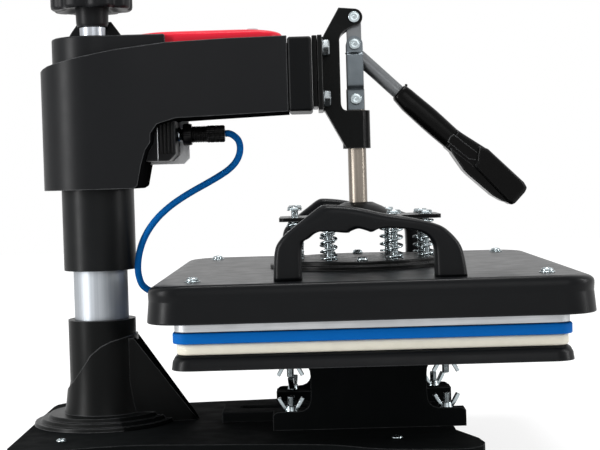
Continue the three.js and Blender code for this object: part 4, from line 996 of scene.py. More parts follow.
def wing_mesh(foot, side, reach, tall):
    """One wing that leaves the hub level and rises to its tip; a negative height points it down."""
    path = curved([Vector((side * x * reach, 0, z * tall)) for x, z in WING_PATH_SHARES], WING_STEPS)
    rings = []
    for k, point in enumerate(path):
        across = Vector((0, 1, 0)).cross(heading(path, k))
        share = k / WING_STEPS
        first = WING_HALVES[int(share)]
        second = WING_HALVES[min(int(share) + 1, len(WING_HALVES) - 1)]
        thick, wide = (p + (q - p) * (share - int(share)) for p, q in zip(first, second))
        rings.append(rounded(foot + point, across * thick, Vector((0, wide, 0)), WING_POWER, WING_SIDES))
    return lofted("wing", rings)


def wing_nut_mesh(name, node, upwards, turn):
    """A small hub with two straight wings that spread out and away from its seat."""
    a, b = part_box(node)
    sign = 1 if upwards else -1
    foot = Vector(((a.x + b.x) / 2, (a.y + b.y) / 2, a.z if upwards else b.z))
    hub = turned("hub", [(radius, sign * z) for radius, z in NUT_HUB], foot, NUT_HUB_SIDES)
    wings = [wing_mesh(foot, side, (b.x - a.x) / 2, sign * (b.z - a.z)) for side in (-1, 1)]
    whole = merged(name, [hub, *wings])
    spin = Matrix.Rotation(math.radians(turn), 4, "Z")
    whole.transform(Matrix.Translation(foot) @ spin @ Matrix.Translation(-foot))
    return whole


class HEATPRESS_OT_wing_nuts(bpy.types.Operator):
    """Makes the eight wing nuts and the bright threads that they turn on"""

    bl_idname = "heatpress.wing_nuts"
    bl_label = "Wing nuts"

    def execute(self, context):
        bed = low("lower_platen").z
        ends = {
            "base": (low("slotted_rail").z, high("base_plate").z),
            "bed": (bed + STUD_OVERHANG, bed),
        }
        for kind, (start, end) in ends.items():
            for corner in CORNERS:
                node = f"wing_nut_{kind}_{corner}"
                name = f"{kind}_nut_{corner}"
                mesh = wing_nut_mesh(name, node, kind == "base", NUT_TURNS.get(f"{kind}_{corner}", 0))
                nut = plated(name, mesh, f"nut_{kind}_{corner}", (node,))
                soften(nut, NUT_EDGE, 2)
                centre = middle(node)
                name = f"{kind}_stud_{corner}"
                profile = thread(STUD_RADIUS, start - centre.z, end - centre.z)
                plated(name, turned(name, profile, centre, STUD_SIDES), "base")
        return {"FINISHED"}


# the arm
SHELL_ROUNDING = 1.5


def faces_inwards(normal):
    """Whether a face of the shell looks down or towards the flange, where a matt finish is painted as
    shade.
    """
    return normal.z < -0.4 or normal.x > 0.4


class HEATPRESS_OT_arm(bpy.types.Operator):
    """Dresses the arm's sleeve, shell, covers, box and flange"""

    bl_idname = "heatpress.arm"
    bl_label = "Arm"

    def execute(self, context):
        edge = edge_radius()
        dress("arm_frame", "powder_coat", edge, 3, finished("sleeve_coat"))
        dress("swing_bush", "nickel", edge / 2)
        shell = dress("arm_housing", "black_plastic", SHELL_ROUNDING * edge, 4)
        # the shell's downward and inward faces get the matt copy as painted shade
        second_finish(shell, finished("painted_shade_plastic"), faces_inwards)
        dress("arm_top_cover", "black_plastic", edge, 3)
        dress("arm_end_cap", "black_plastic", edge, 3, finished("cap_plastic"))
        dress("flange_plate", "casting", edge)
        dress("control_box", "black_plastic", edge)
        dress("box_plate", "aluminium", edge / 2, 3, finished("pale_plate"))
        dress("pressure_screw", "chrome", edge / 2, 3, finished("collar_steel"))
        return {"FINISHED"}


# the control panel
PANEL_CROWN = 0.0075
PANEL_CORNER = 0.0176
PANEL_CORNER_STEPS = 10
PANEL_SHARES = ((1.0, 0.0), (0.985, 0.36), (0.93, 0.62), (0.8, 0.83), (0.55, 0.95), (0.2, 1.0))
PANEL_STEPS = 4
PANEL_DEPTH_SHARE = 0.4
PANEL_CORNER_SHARE = 0.25
DISPLAY_SIZE = (0.052, 0.027, 0.003)
DISPLAY_PLACE_SHARES = (0.42, 0.5, 1.0)
DISPLAY_CORNER_STEPS = 5
DISPLAY_STEPS = ((0.0, -0.0015), (0.0, 0.0), (0.0003, 0.0002))


def panel_mesh():
    """The crowned lid of the control panel, as level rings that draw in towards its crown."""
    a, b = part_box("control_panel")
    centre = (a + b) / 2
    size = b - a
    rings = [rounded_ring(size.x, size.y, PANEL_CORNER, centre, a.z, PANEL_CORNER_STEPS)]
    for share, rise, _ in curved([Vector((width, rise, 0)) for width, rise in PANEL_SHARES], PANEL_STEPS):
        share = min(share, 1.0)
        rings.append(
            rounded_ring(
                size.x * share,
                size.y * (PANEL_DEPTH_SHARE + (1 - PANEL_DEPTH_SHARE) * share),
                PANEL_CORNER * (PANEL_CORNER_SHARE + (1 - PANEL_CORNER_SHARE) * share),
                centre,
                b.z - PANEL_CROWN + PANEL_CROWN * min(rise, 1.0),
                PANEL_CORNER_STEPS,
            )
        )
    return lofted("red_panel", rings)


class HEATPRESS_OT_panel_top(bpy.types.Operator):
    """Makes the red control panel with its dark display window, and dresses its keys and the switch"""

    bl_idname = "heatpress.panel_top"
    bl_label = "Control panel"

    def execute(self, context):
        edge = edge_radius()
        panel = shown(
            "red_panel", panel_mesh(), "arm", finished("red_plastic"), ("control_panel",),
        )
        soften(panel, edge / 2, 2, SHARP_ANGLE)
        width, depth, corner = DISPLAY_SIZE
        place = spot("control_panel", *DISPLAY_PLACE_SHARES)
        window = [
            rounded_ring(
                width - 2 * inset, depth - 2 * inset, corner, place, place.z + rise, DISPLAY_CORNER_STEPS,
            )
            for inset, rise in DISPLAY_STEPS
        ]
        mesh = lofted("display_window", window)
        shown("display_window", mesh, "arm", finished("display_glass"))
        for key in ("button_up", "button_down", "button_set"):
            dress(key, "key_plastic", edge / 2)
        dress("power_switch", "red_plastic", edge / 2)
        return {"FINISHED"}


# the connector: shares of its radius and of its length, with the front ring's radii in metres
RING_PROFILE = ((0.0, 0.0), (0.0062, 0.0), (0.0066, 0.0006))
RING_END = ((0.0066, 0.05), (0.0052, 0.06), (0.0052, 0.118), (0.0, 0.118))
FLANGE_SHARES = ((0.0, 0.118), (0.93, 0.118), (1.0, 0.14), (1.0, 0.25), (0.95, 0.3), (0.0, 0.3))
BODY_START_SHARES = ((0.0, 0.3), (0.66, 0.3))
BODY_RIB_SHARES = ((0.72, 0.0), (0.76, 0.009), (0.76, 0.02), (0.70, 0.027))
BODY_END_SHARES = ((0.0, 0.64),)
BACK_NUT_START_SHARES = ((0.0, 0.62), (0.74, 0.62), (0.79, 0.645))
BACK_NUT_GROOVE_SHARES = ((0.79, 0.0), (0.74, 0.012), (0.79, 0.024))
BACK_NUT_END_SHARES = ((0.79, 0.975), (0.7, 1.0), (0.0, 1.0))
NOTCHES = 6
NOTCH_RADIUS_SHARE = 0.93
NOTCH_COSINE = 0.86
CONNECTOR_SIDES = 120
CONNECTOR_EDGE = 0.0001
CONNECTOR_ANGLE = 45


def repeated(shares, start, pitch, count):
    """A stretch of a profile, repeated along it."""
    return [(radius, start + k * pitch + along) for k in range(count) for radius, along in shares]


def knurled(count, depth):
    """A wave that cuts fine grooves round a turned piece."""
    return lambda angle: 1.0 - depth * (0.5 - 0.5 * math.cos(count * angle))


def notched(angle):
    """A wave that cuts shallow notches round a flange."""
    return NOTCH_RADIUS_SHARE if math.cos(NOTCHES * angle) > NOTCH_COSINE else 1.0


CONNECTOR_PARTS = {
    "connector_flange": (FLANGE_SHARES, notched),
    "connector_body": (
        (
            *BODY_START_SHARES,
            *repeated(BODY_RIB_SHARES, start=0.31, pitch=0.036, count=9),
            *BODY_END_SHARES,
        ),
        knurled(count=30, depth=0.03),
    ),
    "connector_nut": (
        (
            *BACK_NUT_START_SHARES,
            *repeated(BACK_NUT_GROOVE_SHARES, start=0.67, pitch=0.1, count=3),
            *BACK_NUT_END_SHARES,
        ),
        knurled(count=26, depth=0.07),
    ),
}

# the ribs on the control box; each step is a place behind its front and how far the rib draws in there
BOX_RIBS = 4
BOX_RIB_FROM_END = 0.0035
BOX_RIB_SPACING = 0.0033
BOX_RIB_HALF = 0.0011
BOX_RIB_LIFT = 0.0062
BOX_RIB_POWER = 8.0
BOX_RIB_SIDES = 24
BOX_RIB_STEPS = ((0.001, 0.0), (-0.0006, 0.0), (-0.001, 0.0004))
BOX_STRIP_FROM_END = 0.0158
BOX_STRIP_HALF = 0.0005
BOX_STRIP_SHORT = 0.0004
BOX_STRIP_STEPS = ((0.001, 0.0), (-0.0005, 0.0), (-0.0008, 0.0))


def box_rib(name, from_end, half, bottom, short, steps):
    """An upright rib on the control box's front, from a height over its bottom to its top."""
    a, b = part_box("control_box")
    rings = []
    for out, inset in steps:
        centre = Vector((b.x - from_end, a.y + out, (a.z + bottom + b.z) / 2))
        tall = (b.z - a.z - bottom) / 2 - short - inset
        wide = Vector((half - inset, 0, 0))
        rings.append(rounded(centre, wide, Vector((0, 0, tall)), BOX_RIB_POWER, BOX_RIB_SIDES))
    return lofted(name, rings)


class HEATPRESS_OT_connector(bpy.types.Operator):
    """Makes the round connector of the blue lead and the ribs of the control box"""

    bl_idname = "heatpress.connector"
    bl_label = "Connector"

    def execute(self, context):
        a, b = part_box("platen_connector")
        long, radius = b.x - a.x, (b.z - a.z) / 2
        foot = spot("platen_connector", 0.0, 0.5, 0.5)
        black = finished("fitting_plastic")
        for name, (shares, wave) in CONNECTOR_PARTS.items():
            profile = [(r * radius, along * long) for r, along in shares]
            mesh = turned(name, profile, foot, CONNECTOR_SIDES, "X", wave)
            piece = shown(name, mesh, "arm", black, ("platen_connector",))
            soften(piece, CONNECTOR_EDGE, 1, CONNECTOR_ANGLE)
        profile = [*RING_PROFILE, *((r, along * long) for r, along in RING_END)]
        plated("connector_ring", turned("connector_ring", profile, foot, axis="X"), "arm")
        ribs = [
            box_rib("rib", from_end, BOX_RIB_HALF, BOX_RIB_LIFT, 0, BOX_RIB_STEPS)
            for from_end in (BOX_RIB_FROM_END + k * BOX_RIB_SPACING for k in range(BOX_RIBS))
        ]
        shown("box_ribs", merged("box_ribs", ribs), "arm", black)
        strip = box_rib(
            "box_strip", BOX_STRIP_FROM_END, BOX_STRIP_HALF, 0, BOX_STRIP_SHORT, BOX_STRIP_STEPS,
        )
        shown("box_strip", strip, "arm", finished("aluminium"))
        return {"FINISHED"}


# the knob: a lobed head on a neck
KNOB_LOBES = 8
KNOB_SIDES = 24 * KNOB_LOBES
KNOB_NECK_SIDES = 64
KNOB_LOBE_DEPTH = 0.11
KNOB_LOBE_POWER = 2.2
KNOB_HEAD_SHARE = 0.672
KNOB_EDGE = 0.0004

# the head's profile, from its top face and from its underside: shares of its radius, and heights
KNOB_TOP = (
    (0.0, -0.006), (0.55, -0.006), (0.62, -0.0045), (0.68, -0.001), (0.76, 0.0), (0.9, -0.0012),
    (0.975, -0.004), (1.0, -0.008),
)
KNOB_UNDER = ((1.0, 0.0035), (0.985, 0.0012), (0.94, 0.0), (0.74, 0.0008), (0.6, 0.0035), (0.0, 0.0035))

# the neck's profile: radii, with heights from the head's underside, then shares of the knob's height
KNOB_NECK_TOP = ((0.0, 0.004), (0.0152, 0.004), (0.0146, -0.001))
KNOB_NECK_FOOT = ((0.0142, 0.93), (0.0132, 1.0), (0.0, 1.0))


def lobes(angle):
    """A wave that leaves eight lobes round the knob."""
    return 1.0 - KNOB_LOBE_DEPTH * (0.5 + 0.5 * math.cos(KNOB_LOBES * angle)) ** KNOB_LOBE_POWER


class HEATPRESS_OT_knob(bpy.types.Operator):
    """Makes the lobed pressure knob with its neck"""

    bl_idname = "heatpress.knob"
    bl_label = "Pressure knob"

    def execute(self, context):
        a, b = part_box("pressure_knob")
        radius, tall = (b.x - a.x) / 2, b.z - a.z
        centre = spot("pressure_knob", 0.5, 0.5, 1.0)
        star = tall * KNOB_HEAD_SHARE
        head = [(share * radius, z) for share, z in KNOB_TOP]
        head += [(share * radius, z - star) for share, z in KNOB_UNDER]
        neck = [(r, z - star) for r, z in KNOB_NECK_TOP]
        neck += [(r, -share * tall) for r, share in KNOB_NECK_FOOT]
        for mesh in (
            turned("knob_head", head, centre, KNOB_SIDES, "Z", lobes),
            turned("knob_neck", neck, centre, KNOB_NECK_SIDES),
        ):
            piece = shown(
                mesh.name, mesh, "knob", finished("black_plastic"), ("pressure_knob",),
            )
            soften(piece, KNOB_EDGE, 2, SHARP_ANGLE)
        return {"FINISHED"}


# the lever and its grip: shares of the grip's length, with heights and half widths in millimetres
NECK_UPPER = ((0.0, 7.4), (0.012, 8.6), (0.06, 9.2), (0.26, 10.3), (0.5, 9.9), (0.62, 9.4))
NECK_LOWER = ((0.0, -7.0), (0.012, -8.2), (0.1, -9.7), (0.28, -9.8), (0.5, -8.9), (0.62, -8.6))
NECK_WIDTHS = ((0.0, 8.8), (0.02, 10.4), (0.12, 11.4), (0.3, 12.0), (0.5, 12.2), (0.62, 12.0))
NECK_RINGS = 40
NECK_POWER = 2.9
NECK_SIDES = 40
WAIST = ((0.425, 9.3), (0.47, 10.0), (0.655, 14.5), (0.67, 8.0), (0.66, -8.0), (0.55, -9.0), (0.44, -9.2))
WAIST_STEP = ((0.425, 4.0), (0.64, 6.4), (0.645, 0.6), (0.6, -4.0), (0.43, -4.6), (0.42, 0.0))
FLAP = (
    (0.46, -7.0), (0.5, -9.6), (0.56, -11.6), (0.62, -13.6), (0.66, -14.0), (0.86, -13.2), (0.925, -11.2),
    (0.975, -8.0), (0.96, -5.0), (0.62, -4.4),
)
PADDLE = (
    (0.585, 11.0), (0.645, 14.6), (0.95, 13.9), (0.985, 12.2), (0.995, 8.0), (0.995, -5.0), (0.985, -8.2),
    (0.965, -9.0), (0.65, -5.8), (0.635, -4.6), (0.63, 0.8), (0.61, 4.0),
)

# each block's outline, half width, slope of its edges and rounding
GRIP_BLOCKS = {
    "grip_waist": (WAIST, 0.0134, 0.0026, 0.0006),
    "grip_step": (WAIST_STEP, 0.0140, 0.0006, 0.0003),
    "grip_flap": (FLAP, 0.0138, 0.0014, 0.0006),
    "grip_paddle": (PADDLE, 0.0164, 0.0032, 0.0011),
}

# the grip's place on the lever, its nub, and the lever's tube and bar
GRIP_START = 0.057
GRIP_LENGTH = 0.143
NUB_PROFILE = ((0, 0), (0.0012, 0), (0.0012, 0.0016), (0.0006, 0.0022), (0, 0.0022))
NUB_SIDES = 24
NUB_PLACE = (0.002, 0.0084)
BLOCK_ANGLE = 18
LEVER_DROP = 0.0048
LEVER_ANGLE = math.radians(43.5)
TUBE_RADIUS = 0.0064
TUBE_SIDES = 48
TUBE_STEPS = 12
TUBE_SPAN = (-0.001, GRIP_START + 0.03)
BAR_HALF = 0.0068
BAR_END_STEPS = 32


def between(table, share):
    """A value read from a table of places and values."""
    for (a, first), (b, second) in zip(table, table[1:]):
        if share <= b:
            t = (share - a) / (b - a)
            t = t * t * (3 - 2 * t) * 0.5 + t * 0.5
            return first + (second - first) * t
    return table[-1][1]


def on_lever(along, rise, y=0.0):
    """A point by its way along the lever from the middle pivot and its rise over the tube's line."""
    pivot = middle("pivot_bolt_middle")
    up = rise - LEVER_DROP
    return Vector((
        pivot.x + along * math.cos(LEVER_ANGLE) + up * math.sin(LEVER_ANGLE),
        y,
        pivot.z - along * math.sin(LEVER_ANGLE) + up * math.cos(LEVER_ANGLE),
    ))


def neck_mesh():
    """The grip's slim neck, which runs on into the paddle."""
    rings = []
    for k in range(NECK_RINGS + 1):
        share = NECK_UPPER[-1][0] * k / NECK_RINGS
        up, down = between(NECK_UPPER, share) * MM, between(NECK_LOWER, share) * MM
        along = GRIP_START + share * GRIP_LENGTH
        centre = on_lever(along, (up + down) / 2)
        tall = on_lever(along, (up - down) / 2) - on_lever(along, 0.0)
        wide = Vector((0, between(NECK_WIDTHS, share) * MM, 0))
        rings.append(rounded(centre, tall, wide, NECK_POWER, NECK_SIDES))
    return lofted("grip_neck", rings)


def grip_block(name, outline, half, slope):
    """A solid across the lever: an outline whose edges slope in towards both faces."""
    points = [Vector((along * GRIP_LENGTH, rise * MM, 0)) for along, rise in outline]
    centre = sum(points, Vector()) / len(points)
    rings = []
    for y, inset in ((-half, slope), (slope - half, 0.0), (half - slope, 0.0), (half, slope)):
        shifted = [point + (centre - point).normalized() * inset for point in points]
        rings.append([on_lever(GRIP_START + point.x, point.y, y) for point in shifted])
    return lofted(name, rings)


def lever_mesh():
    """The lever's upright bar on the top pivot and the tube welded to it, as one piece."""
    pivot, top = middle("pivot_bolt_middle"), middle("pivot_bolt_top")
    outline = []
    for start, z in ((0.0, top.z), (math.pi, pivot.z)):
        for k in range(BAR_END_STEPS + 1):
            angle = start + math.pi * k / BAR_END_STEPS
            outline.append((pivot.x + TUBE_RADIUS * math.cos(angle), z + TUBE_RADIUS * math.sin(angle)))
    bar = lofted("bar", [[Vector((x, y, z)) for x, z in outline] for y in (-BAR_HALF, BAR_HALF)])
    start, end = (on_lever(along, 0.0) for along in TUBE_SPAN)
    path = [start.lerp(end, k / TUBE_STEPS) for k in range(TUBE_STEPS + 1)]
    return merged("lever_tube", [bar, tube("tube", path, TUBE_RADIUS, TUBE_SIDES)])


# the toggle links and the heads of their bolts
LINK_THICKNESS = 0.003
LINK_JOG = 0.0026
LINK_BEND = 0.0026
LINK_BEND_SHARE = 2.2
LINK_SETBACK = 0.0006
LINK_STEPS = 8
LINK_TIP = 0.00002
LINK_LEAST_SQUARE = 0.0000004
LINK_POWER = 9.0
LINK_SIDES = 28
LINK_EDGE = 0.0002
PIVOT_BODIES = {"pivot_bolt_top": "arm", "pivot_bolt_middle": "links", "pivot_bolt_low": "shaft"}
PIVOT_RADIUS = 0.0049
PIVOT_PROUD = 0.0003
PIVOT_SUNK = 0.0026
PIVOT_SHARES = ((0.0, 0.35), (0.38, 0.4), (0.5, 0.95), (0.6, 1.0), (0.8, 0.8), (0.96, 0.2), (1.0, -0.4))
PIVOT_SIDES = 40


def link_mesh(name, node, side):
    """A jogged strip with a round top and a square foot."""
    a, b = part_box(node)
    half = (b.x - a.x) / 2
    inner = min(abs(a.y), abs(b.y)) + LINK_THICKNESS / 2
    rise = middle("pivot_bolt_low").z + half
    fall = middle("pivot_bolt_middle").z - half - LINK_BEND
    path = [
        (0.0, a.z), (0.0, rise - LINK_SETBACK), (LINK_JOG, rise + LINK_BEND_SHARE * LINK_BEND),
        (LINK_JOG, fall), (0.0, fall + LINK_BEND + LINK_SETBACK), (0.0, b.z - half),
    ]
    steps = []
    for (y0, z0), (y1, z1) in zip(path, path[1:]):
        for k in range(LINK_STEPS):
            t = k / LINK_STEPS
            steps.append((y0 + (y1 - y0) * t * t * (3 - 2 * t), z0 + (z1 - z0) * t))
    turns = (math.pi / 2 * k / LINK_STEPS for k in range(LINK_STEPS))
    steps += [(0.0, b.z - half + half * math.sin(turn)) for turn in turns]
    steps.append((0.0, b.z - LINK_TIP))
    rings = []
    for y, z in steps:
        over = max(z - (b.z - half), 0.0)
        wide = Vector((math.sqrt(max(half**2 - over**2, LINK_LEAST_SQUARE)), 0, 0))
        centre = Vector(((a.x + b.x) / 2, side * (inner + y), z))
        rings.append(rounded(centre, wide, Vector((0, LINK_THICKNESS / 2, 0)), LINK_POWER, LINK_SIDES))
    return lofted(name, rings)


def dimpled(name, node):
    """A domed bolt head with a rim and a dimple, on the front of a pivot."""
    start = spot(node, 0.5, 0.0, 0.5)
    profile = [(share * PIVOT_RADIUS, rise * PIVOT_PROUD) for share, rise in PIVOT_SHARES]
    profile += [(PIVOT_RADIUS, -PIVOT_SUNK), (0.0, -PIVOT_SUNK)]
    return turned(name, [(radius, -along) for radius, along in profile], start, PIVOT_SIDES, "Y")


# the four bolts that hold the lever head to the arm's flange
HEAD_FLANGE = 0.0043
FLANGE_BOLT_OUT = 0.0225
FLANGE_BOLT_SHARES = {"upper": 0.83, "lower": 0.115}
FLANGE_WASHER = (0.0078, 0.0012)
FLANGE_BOLT_HEAD = (0.0076, 0.0056)
FLANGE_BOLT_EDGE = 0.0005
HEAD_ROUNDING = 1.4


class HEATPRESS_OT_lever(bpy.types.Operator):
    """Makes the lever, its grip, the links and the bolts, and dresses the lever head"""

    bl_idname = "heatpress.lever"
    bl_label = "Lever and toggle"

    def execute(self, context):
        edge = edge_radius()
        dress("lever_head", "casting", HEAD_ROUNDING * edge, 3)
        paint = finished("grey_paint")
        lever = shown("lever_tube", lever_mesh(), "lever", paint, ("lever_arm",))
        soften(lever, edge / 2, 3, SHARP_ANGLE)
        self.grip()
        for node, side in (("link_front", -1), ("link_rear", 1)):
            name = node + "_strip"
            piece = shown(name, link_mesh(name, node, side), "links", finished("zinc"), (node,))
            soften(piece, LINK_EDGE, 2, SHARP_ANGLE)
        for node, body in PIVOT_BODIES.items():
            dress(node, "zinc", edge / 3)
            plated(node + "_head", dimpled(node + "_head", node), body)
        self.flange_bolts()
        return {"FINISHED"}

    def grip(self):
        """The moulded grip, in the blocks that its seams show."""
        plastic = finished("grip_plastic")
        shown("grip_neck", neck_mesh(), "lever", plastic, ("lever_grip",))
        for name, (outline, half, slope, rounding) in GRIP_BLOCKS.items():
            mesh = grip_block(name, outline, half, slope)
            piece = shown(name, mesh, "lever", plastic, ("lever_grip",))
            soften(piece, rounding, 4, BLOCK_ANGLE)
        along, rise = NUB_PLACE
        nub = turned("grip_nub", NUB_PROFILE, on_lever(GRIP_START + along, rise), NUB_SIDES)
        shown("grip_nub", nub, "lever", plastic)

    def flange_bolts(self):
        """The hex bolts of the lever head, each with its washer."""
        for row, share in FLANGE_BOLT_SHARES.items():
            for column, side in (("front", -1), ("rear", 1)):
                name = f"flange_bolt_{row}_{column}"
                place = spot("flange_plate", 1.0, 0.0, share)
                place.x += HEAD_FLANGE
                place.y = side * FLANGE_BOLT_OUT
                radius, height = FLANGE_WASHER
                washer = disc("washer", radius, 0, height, place, "X")
                head = turned("head", hexagon(*FLANGE_BOLT_HEAD, height), place, HEX_SIDES, "X")
                piece = shown(name, merged(name, [washer, head]), "arm", finished("bolt_steel"))
                soften(piece, FLANGE_BOLT_EDGE, 2)


# the springs and the bolts inside them
SPRING_TURNS = 5.4
SPRING_STEPS = 24
SPRING_END_TURNS = 0.7
SPRING_END_RISE = 1.1
SPRING_SIDES = 10
SPRING_REACH = 0.057
PLATE_THICKNESS = 0.0034
BOLT_LIFT = 0.006
BOLT_SHANK = (0.003, 0.0004, 0.0012)
BOLT_SHANK_SIDES = 18
BOLT_WASHER = (0.0066, 0.0009)
BOLT_WASHER_SIDES = 36
BOLT_HEAD = (0.006, 0.0026)
BOLT_EDGE = 0.0003


def spring_mesh(name, node, wire):
    """A compression spring with closed ends, as a round wire on a helix."""
    a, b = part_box(node)
    centre = (a + b) / 2
    coil = (b.x - a.x) / 2 - wire / 2
    start, end = a.z + wire / 2, b.z - wire / 2
    count = int(SPRING_TURNS * SPRING_STEPS)
    flat = SPRING_END_TURNS / SPRING_TURNS
    closed = SPRING_END_RISE * wire
    path = []
    for i in range(count + 1):
        t = i / count
        climb = min(max((t - flat) / (1 - 2 * flat), 0.0), 1.0)
        rise = closed * (min(t / flat, 1.0) + min(max((t - 1 + flat) / flat, 0.0), 1.0))
        angle = 2 * math.pi * SPRING_TURNS * t
        z = start + rise * 0.5 + climb * (end - start - closed)
        path.append(Vector((centre.x + coil * math.cos(angle), centre.y + coil * math.sin(angle), z)))
    return tube(name, path, wire / 2, SPRING_SIDES)


def spring_bolt_mesh(name, foot, bottom, seat):
    """A threaded bolt with a washer and a hex head, from the disc up to its seat on the spring plate."""
    radius, overlap, pitch = BOLT_SHANK
    shank = turned(
        "shank", thread(radius, bottom - overlap, seat + overlap, pitch), foot, BOLT_SHANK_SIDES,
    )
    wide, thick = BOLT_WASHER
    washer = disc("washer", wide, seat, thick, foot, sides=BOLT_WASHER_SIDES)
    head = turned("head", hexagon(*BOLT_HEAD, seat + thick), foot, HEX_SIDES)
    return merged(name, [shank, washer, head])


class HEATPRESS_OT_springs(bpy.types.Operator):
    """Makes the eight springs and the bright bolts inside them"""

    bl_idname = "heatpress.springs"
    bl_label = "Springs"

    def execute(self, context):
        wire = context.scene.heat_press_sizes.spring_wire
        plate = low("spring_plate").z + PLATE_THICKNESS
        for corner in CORNERS:
            for place in ("outer", "inner"):
                node = f"spring_{corner}_{place}"
                bottom = low(node).z
                centre = middle(node)
                name = f"coil_{corner}_{place}"
                steel = finished("spring_steel")
                mesh = spring_mesh(name, node, wire)
                coil = shown(name, mesh, "platen", steel, (node,))
                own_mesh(coil)
                across = centre.x - middle("mounting_disc").x
                lift = BOLT_LIFT * (SPRING_REACH - across) / (2 * SPRING_REACH)
                seat = plate + CLEARANCE + max(lift, 0.0)
                name = f"bolt_{corner}_{place}"
                foot = Vector((centre.x, centre.y, 0.0))
                mesh = spring_bolt_mesh(name, foot, bottom, seat)
                bolt = plated(name, mesh, "platen", ("mounting_disc",))
                soften(bolt, BOLT_EDGE, 2, SHARP_ANGLE)
        return {"FINISHED"}


# the disc: shares of its radius and of its plate's height
DISC_SHARES = ((0.93, 0.5), (0.925, 0.56), (0.925, 0.9), (0.915, 1.0), (0.0, 1.0))
DISC_RIM_SHARES = (0.42, 0.5)
DISC_RIM_CHAMFER = 0.0008
DISC_SIDES = 96
DISC_EDGE = 0.0004
DISC_SCREW_OUT = 0.062
DISC_SCREW_SIZE = (0.0046, 0.0034)

# the cover: its walls, and shares of its shoulders' width at the sides and the ends and of their height
COVER_WALL = 0.0025
COVER_CORNER = 0.028
COVER_TOP_CORNER = 0.022
COVER_CORNER_STEPS = 12
COVER_FLARE = 0.0015
COVER_SILL = 0.0008
COVER_INNER_DROP = 0.004
COVER_EDGE = 0.0006
COVER_ANGLE = 30
SIDE_SHOULDER = 0.013
END_SHOULDER = 0.005
SHOULDER_HEIGHT = 0.013
SHOULDER_STEPS = 3
SHOULDER_SHARES = (
    (0, 0, 0), (0, 0, 0.2), (0, 0, 0.4), (0.04, 0.1, 0.64), (0.2, 0.28, 0.82), (0.5, 0.55, 0.94), (1, 1, 1),
)
COVER_SCREW_ROWS = {"front": 0.084, "rear": 0.916}
COVER_SCREW_COLUMNS = {"left": 0.044, "right": 0.956}
COVER_SCREW_SUNK = 0.0002
COVER_WASHER = (0.0064, 0.0009)
COVER_SCREW_SIZE = (0.0049, 0.003)

# the handles: their outer line, in shares of half their length and of their height
HANDLE_OUTER_SHARES = (
    (-1, 0), (-0.98, 0.39), (-0.915, 0.557), (-0.797, 0.696), (-0.61, 0.88), (-0.503, 0.978), (-0.41, 1),
    (-0.155, 0.963), (0.145, 0.87), (0.447, 0.795), (0.656, 0.723), (0.79, 0.636), (0.923, 0.443),
    (0.972, 0.255), (1, 0),
)

# their inner line, in shares of half the opening's length and of its height
HANDLE_INNER_SHARES = (
    (-1.025, 0), (-1.01, 0.704), (-0.9, 0.864), (-0.722, 0.995), (-0.347, 0.95), (-0.27, 0.985),
    (-0.16, 1.03), (-0.04, 0.985), (0.04, 0.955), (0.2, 1.03), (0.645, 0.977), (0.843, 0.87),
    (0.945, 0.687), (0.967, 0.45), (0.97, 0),
)
HANDLE_INNER_HALF = 0.0515
HANDLE_INNER_SHARE = 0.65
HANDLE_STEPS = 6
HANDLE_POWER = 4.2
HANDLE_SIDES = 32

# the lead's gland: radii, and shares of its reach out of the cover's wall
GLAND_PROFILE = (
    (0.0, 0.0), (0.0034, 0.0), (0.0046, 0.12), (0.005, 0.3), (0.0056, 0.34), (0.006, 0.42), (0.006, 0.7),
    (0.0054, 0.76), (0.0054, 1.25), (0.0, 1.25),
)
GLAND_SIDES = 48


def disc_mesh(radius, top):
    """The mounting disc's plate: a rim, a groove and a raised face."""
    rim, groove = (share * top for share in DISC_RIM_SHARES)
    profile = [(0, 0), (radius, 0), (radius, rim), (radius - DISC_RIM_CHAMFER, groove)]
    profile += [(share * radius, height * top) for share, height in DISC_SHARES]
    a = low("mounting_disc")
    return turned("disc_plate", profile, Vector((a.x + radius, a.y + radius, a.z)), DISC_SIDES)


def cover_mesh():
    """The moulded lid as a shell: soft shoulders at its sides and crisper ones at its ends."""
    a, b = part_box("platen_cover")
    centre = middle("silicone_pad")
    wide, deep = 2 * (b.x - centre.x), b.y - a.y
    wall_top = b.z - SHOULDER_HEIGHT

    def ring(side, end, corner, z):
        return rounded_ring(wide - 2 * side, deep - 2 * end, corner, centre, z, COVER_CORNER_STEPS)

    outer = [ring(COVER_SILL, COVER_SILL, COVER_CORNER, a.z), ring(0, 0, COVER_CORNER, a.z + COVER_SILL)]
    for side, end, rise in curved([Vector(share) for share in SHOULDER_SHARES], SHOULDER_STEPS):
        rise = min(max(rise, 0.0), 1.0)
        outer.append(
            ring(
                COVER_FLARE + max(side, 0.0) * SIDE_SHOULDER,
                COVER_FLARE / 2 + max(end, 0.0) * END_SHOULDER,
                COVER_CORNER + rise * (COVER_TOP_CORNER - COVER_CORNER),
                wall_top + rise * SHOULDER_HEIGHT,
            )
        )
    top_in, corner = COVER_FLARE + COVER_WALL, COVER_CORNER - COVER_WALL
    inner = [
        ring(SIDE_SHOULDER + top_in, END_SHOULDER + top_in, COVER_CORNER / 2, b.z - COVER_WALL),
        ring(COVER_WALL, COVER_WALL, corner, wall_top - COVER_INNER_DROP),
        ring(COVER_WALL, COVER_WALL, corner, a.z),
    ]
    return lofted("cover_shell", inner + outer)


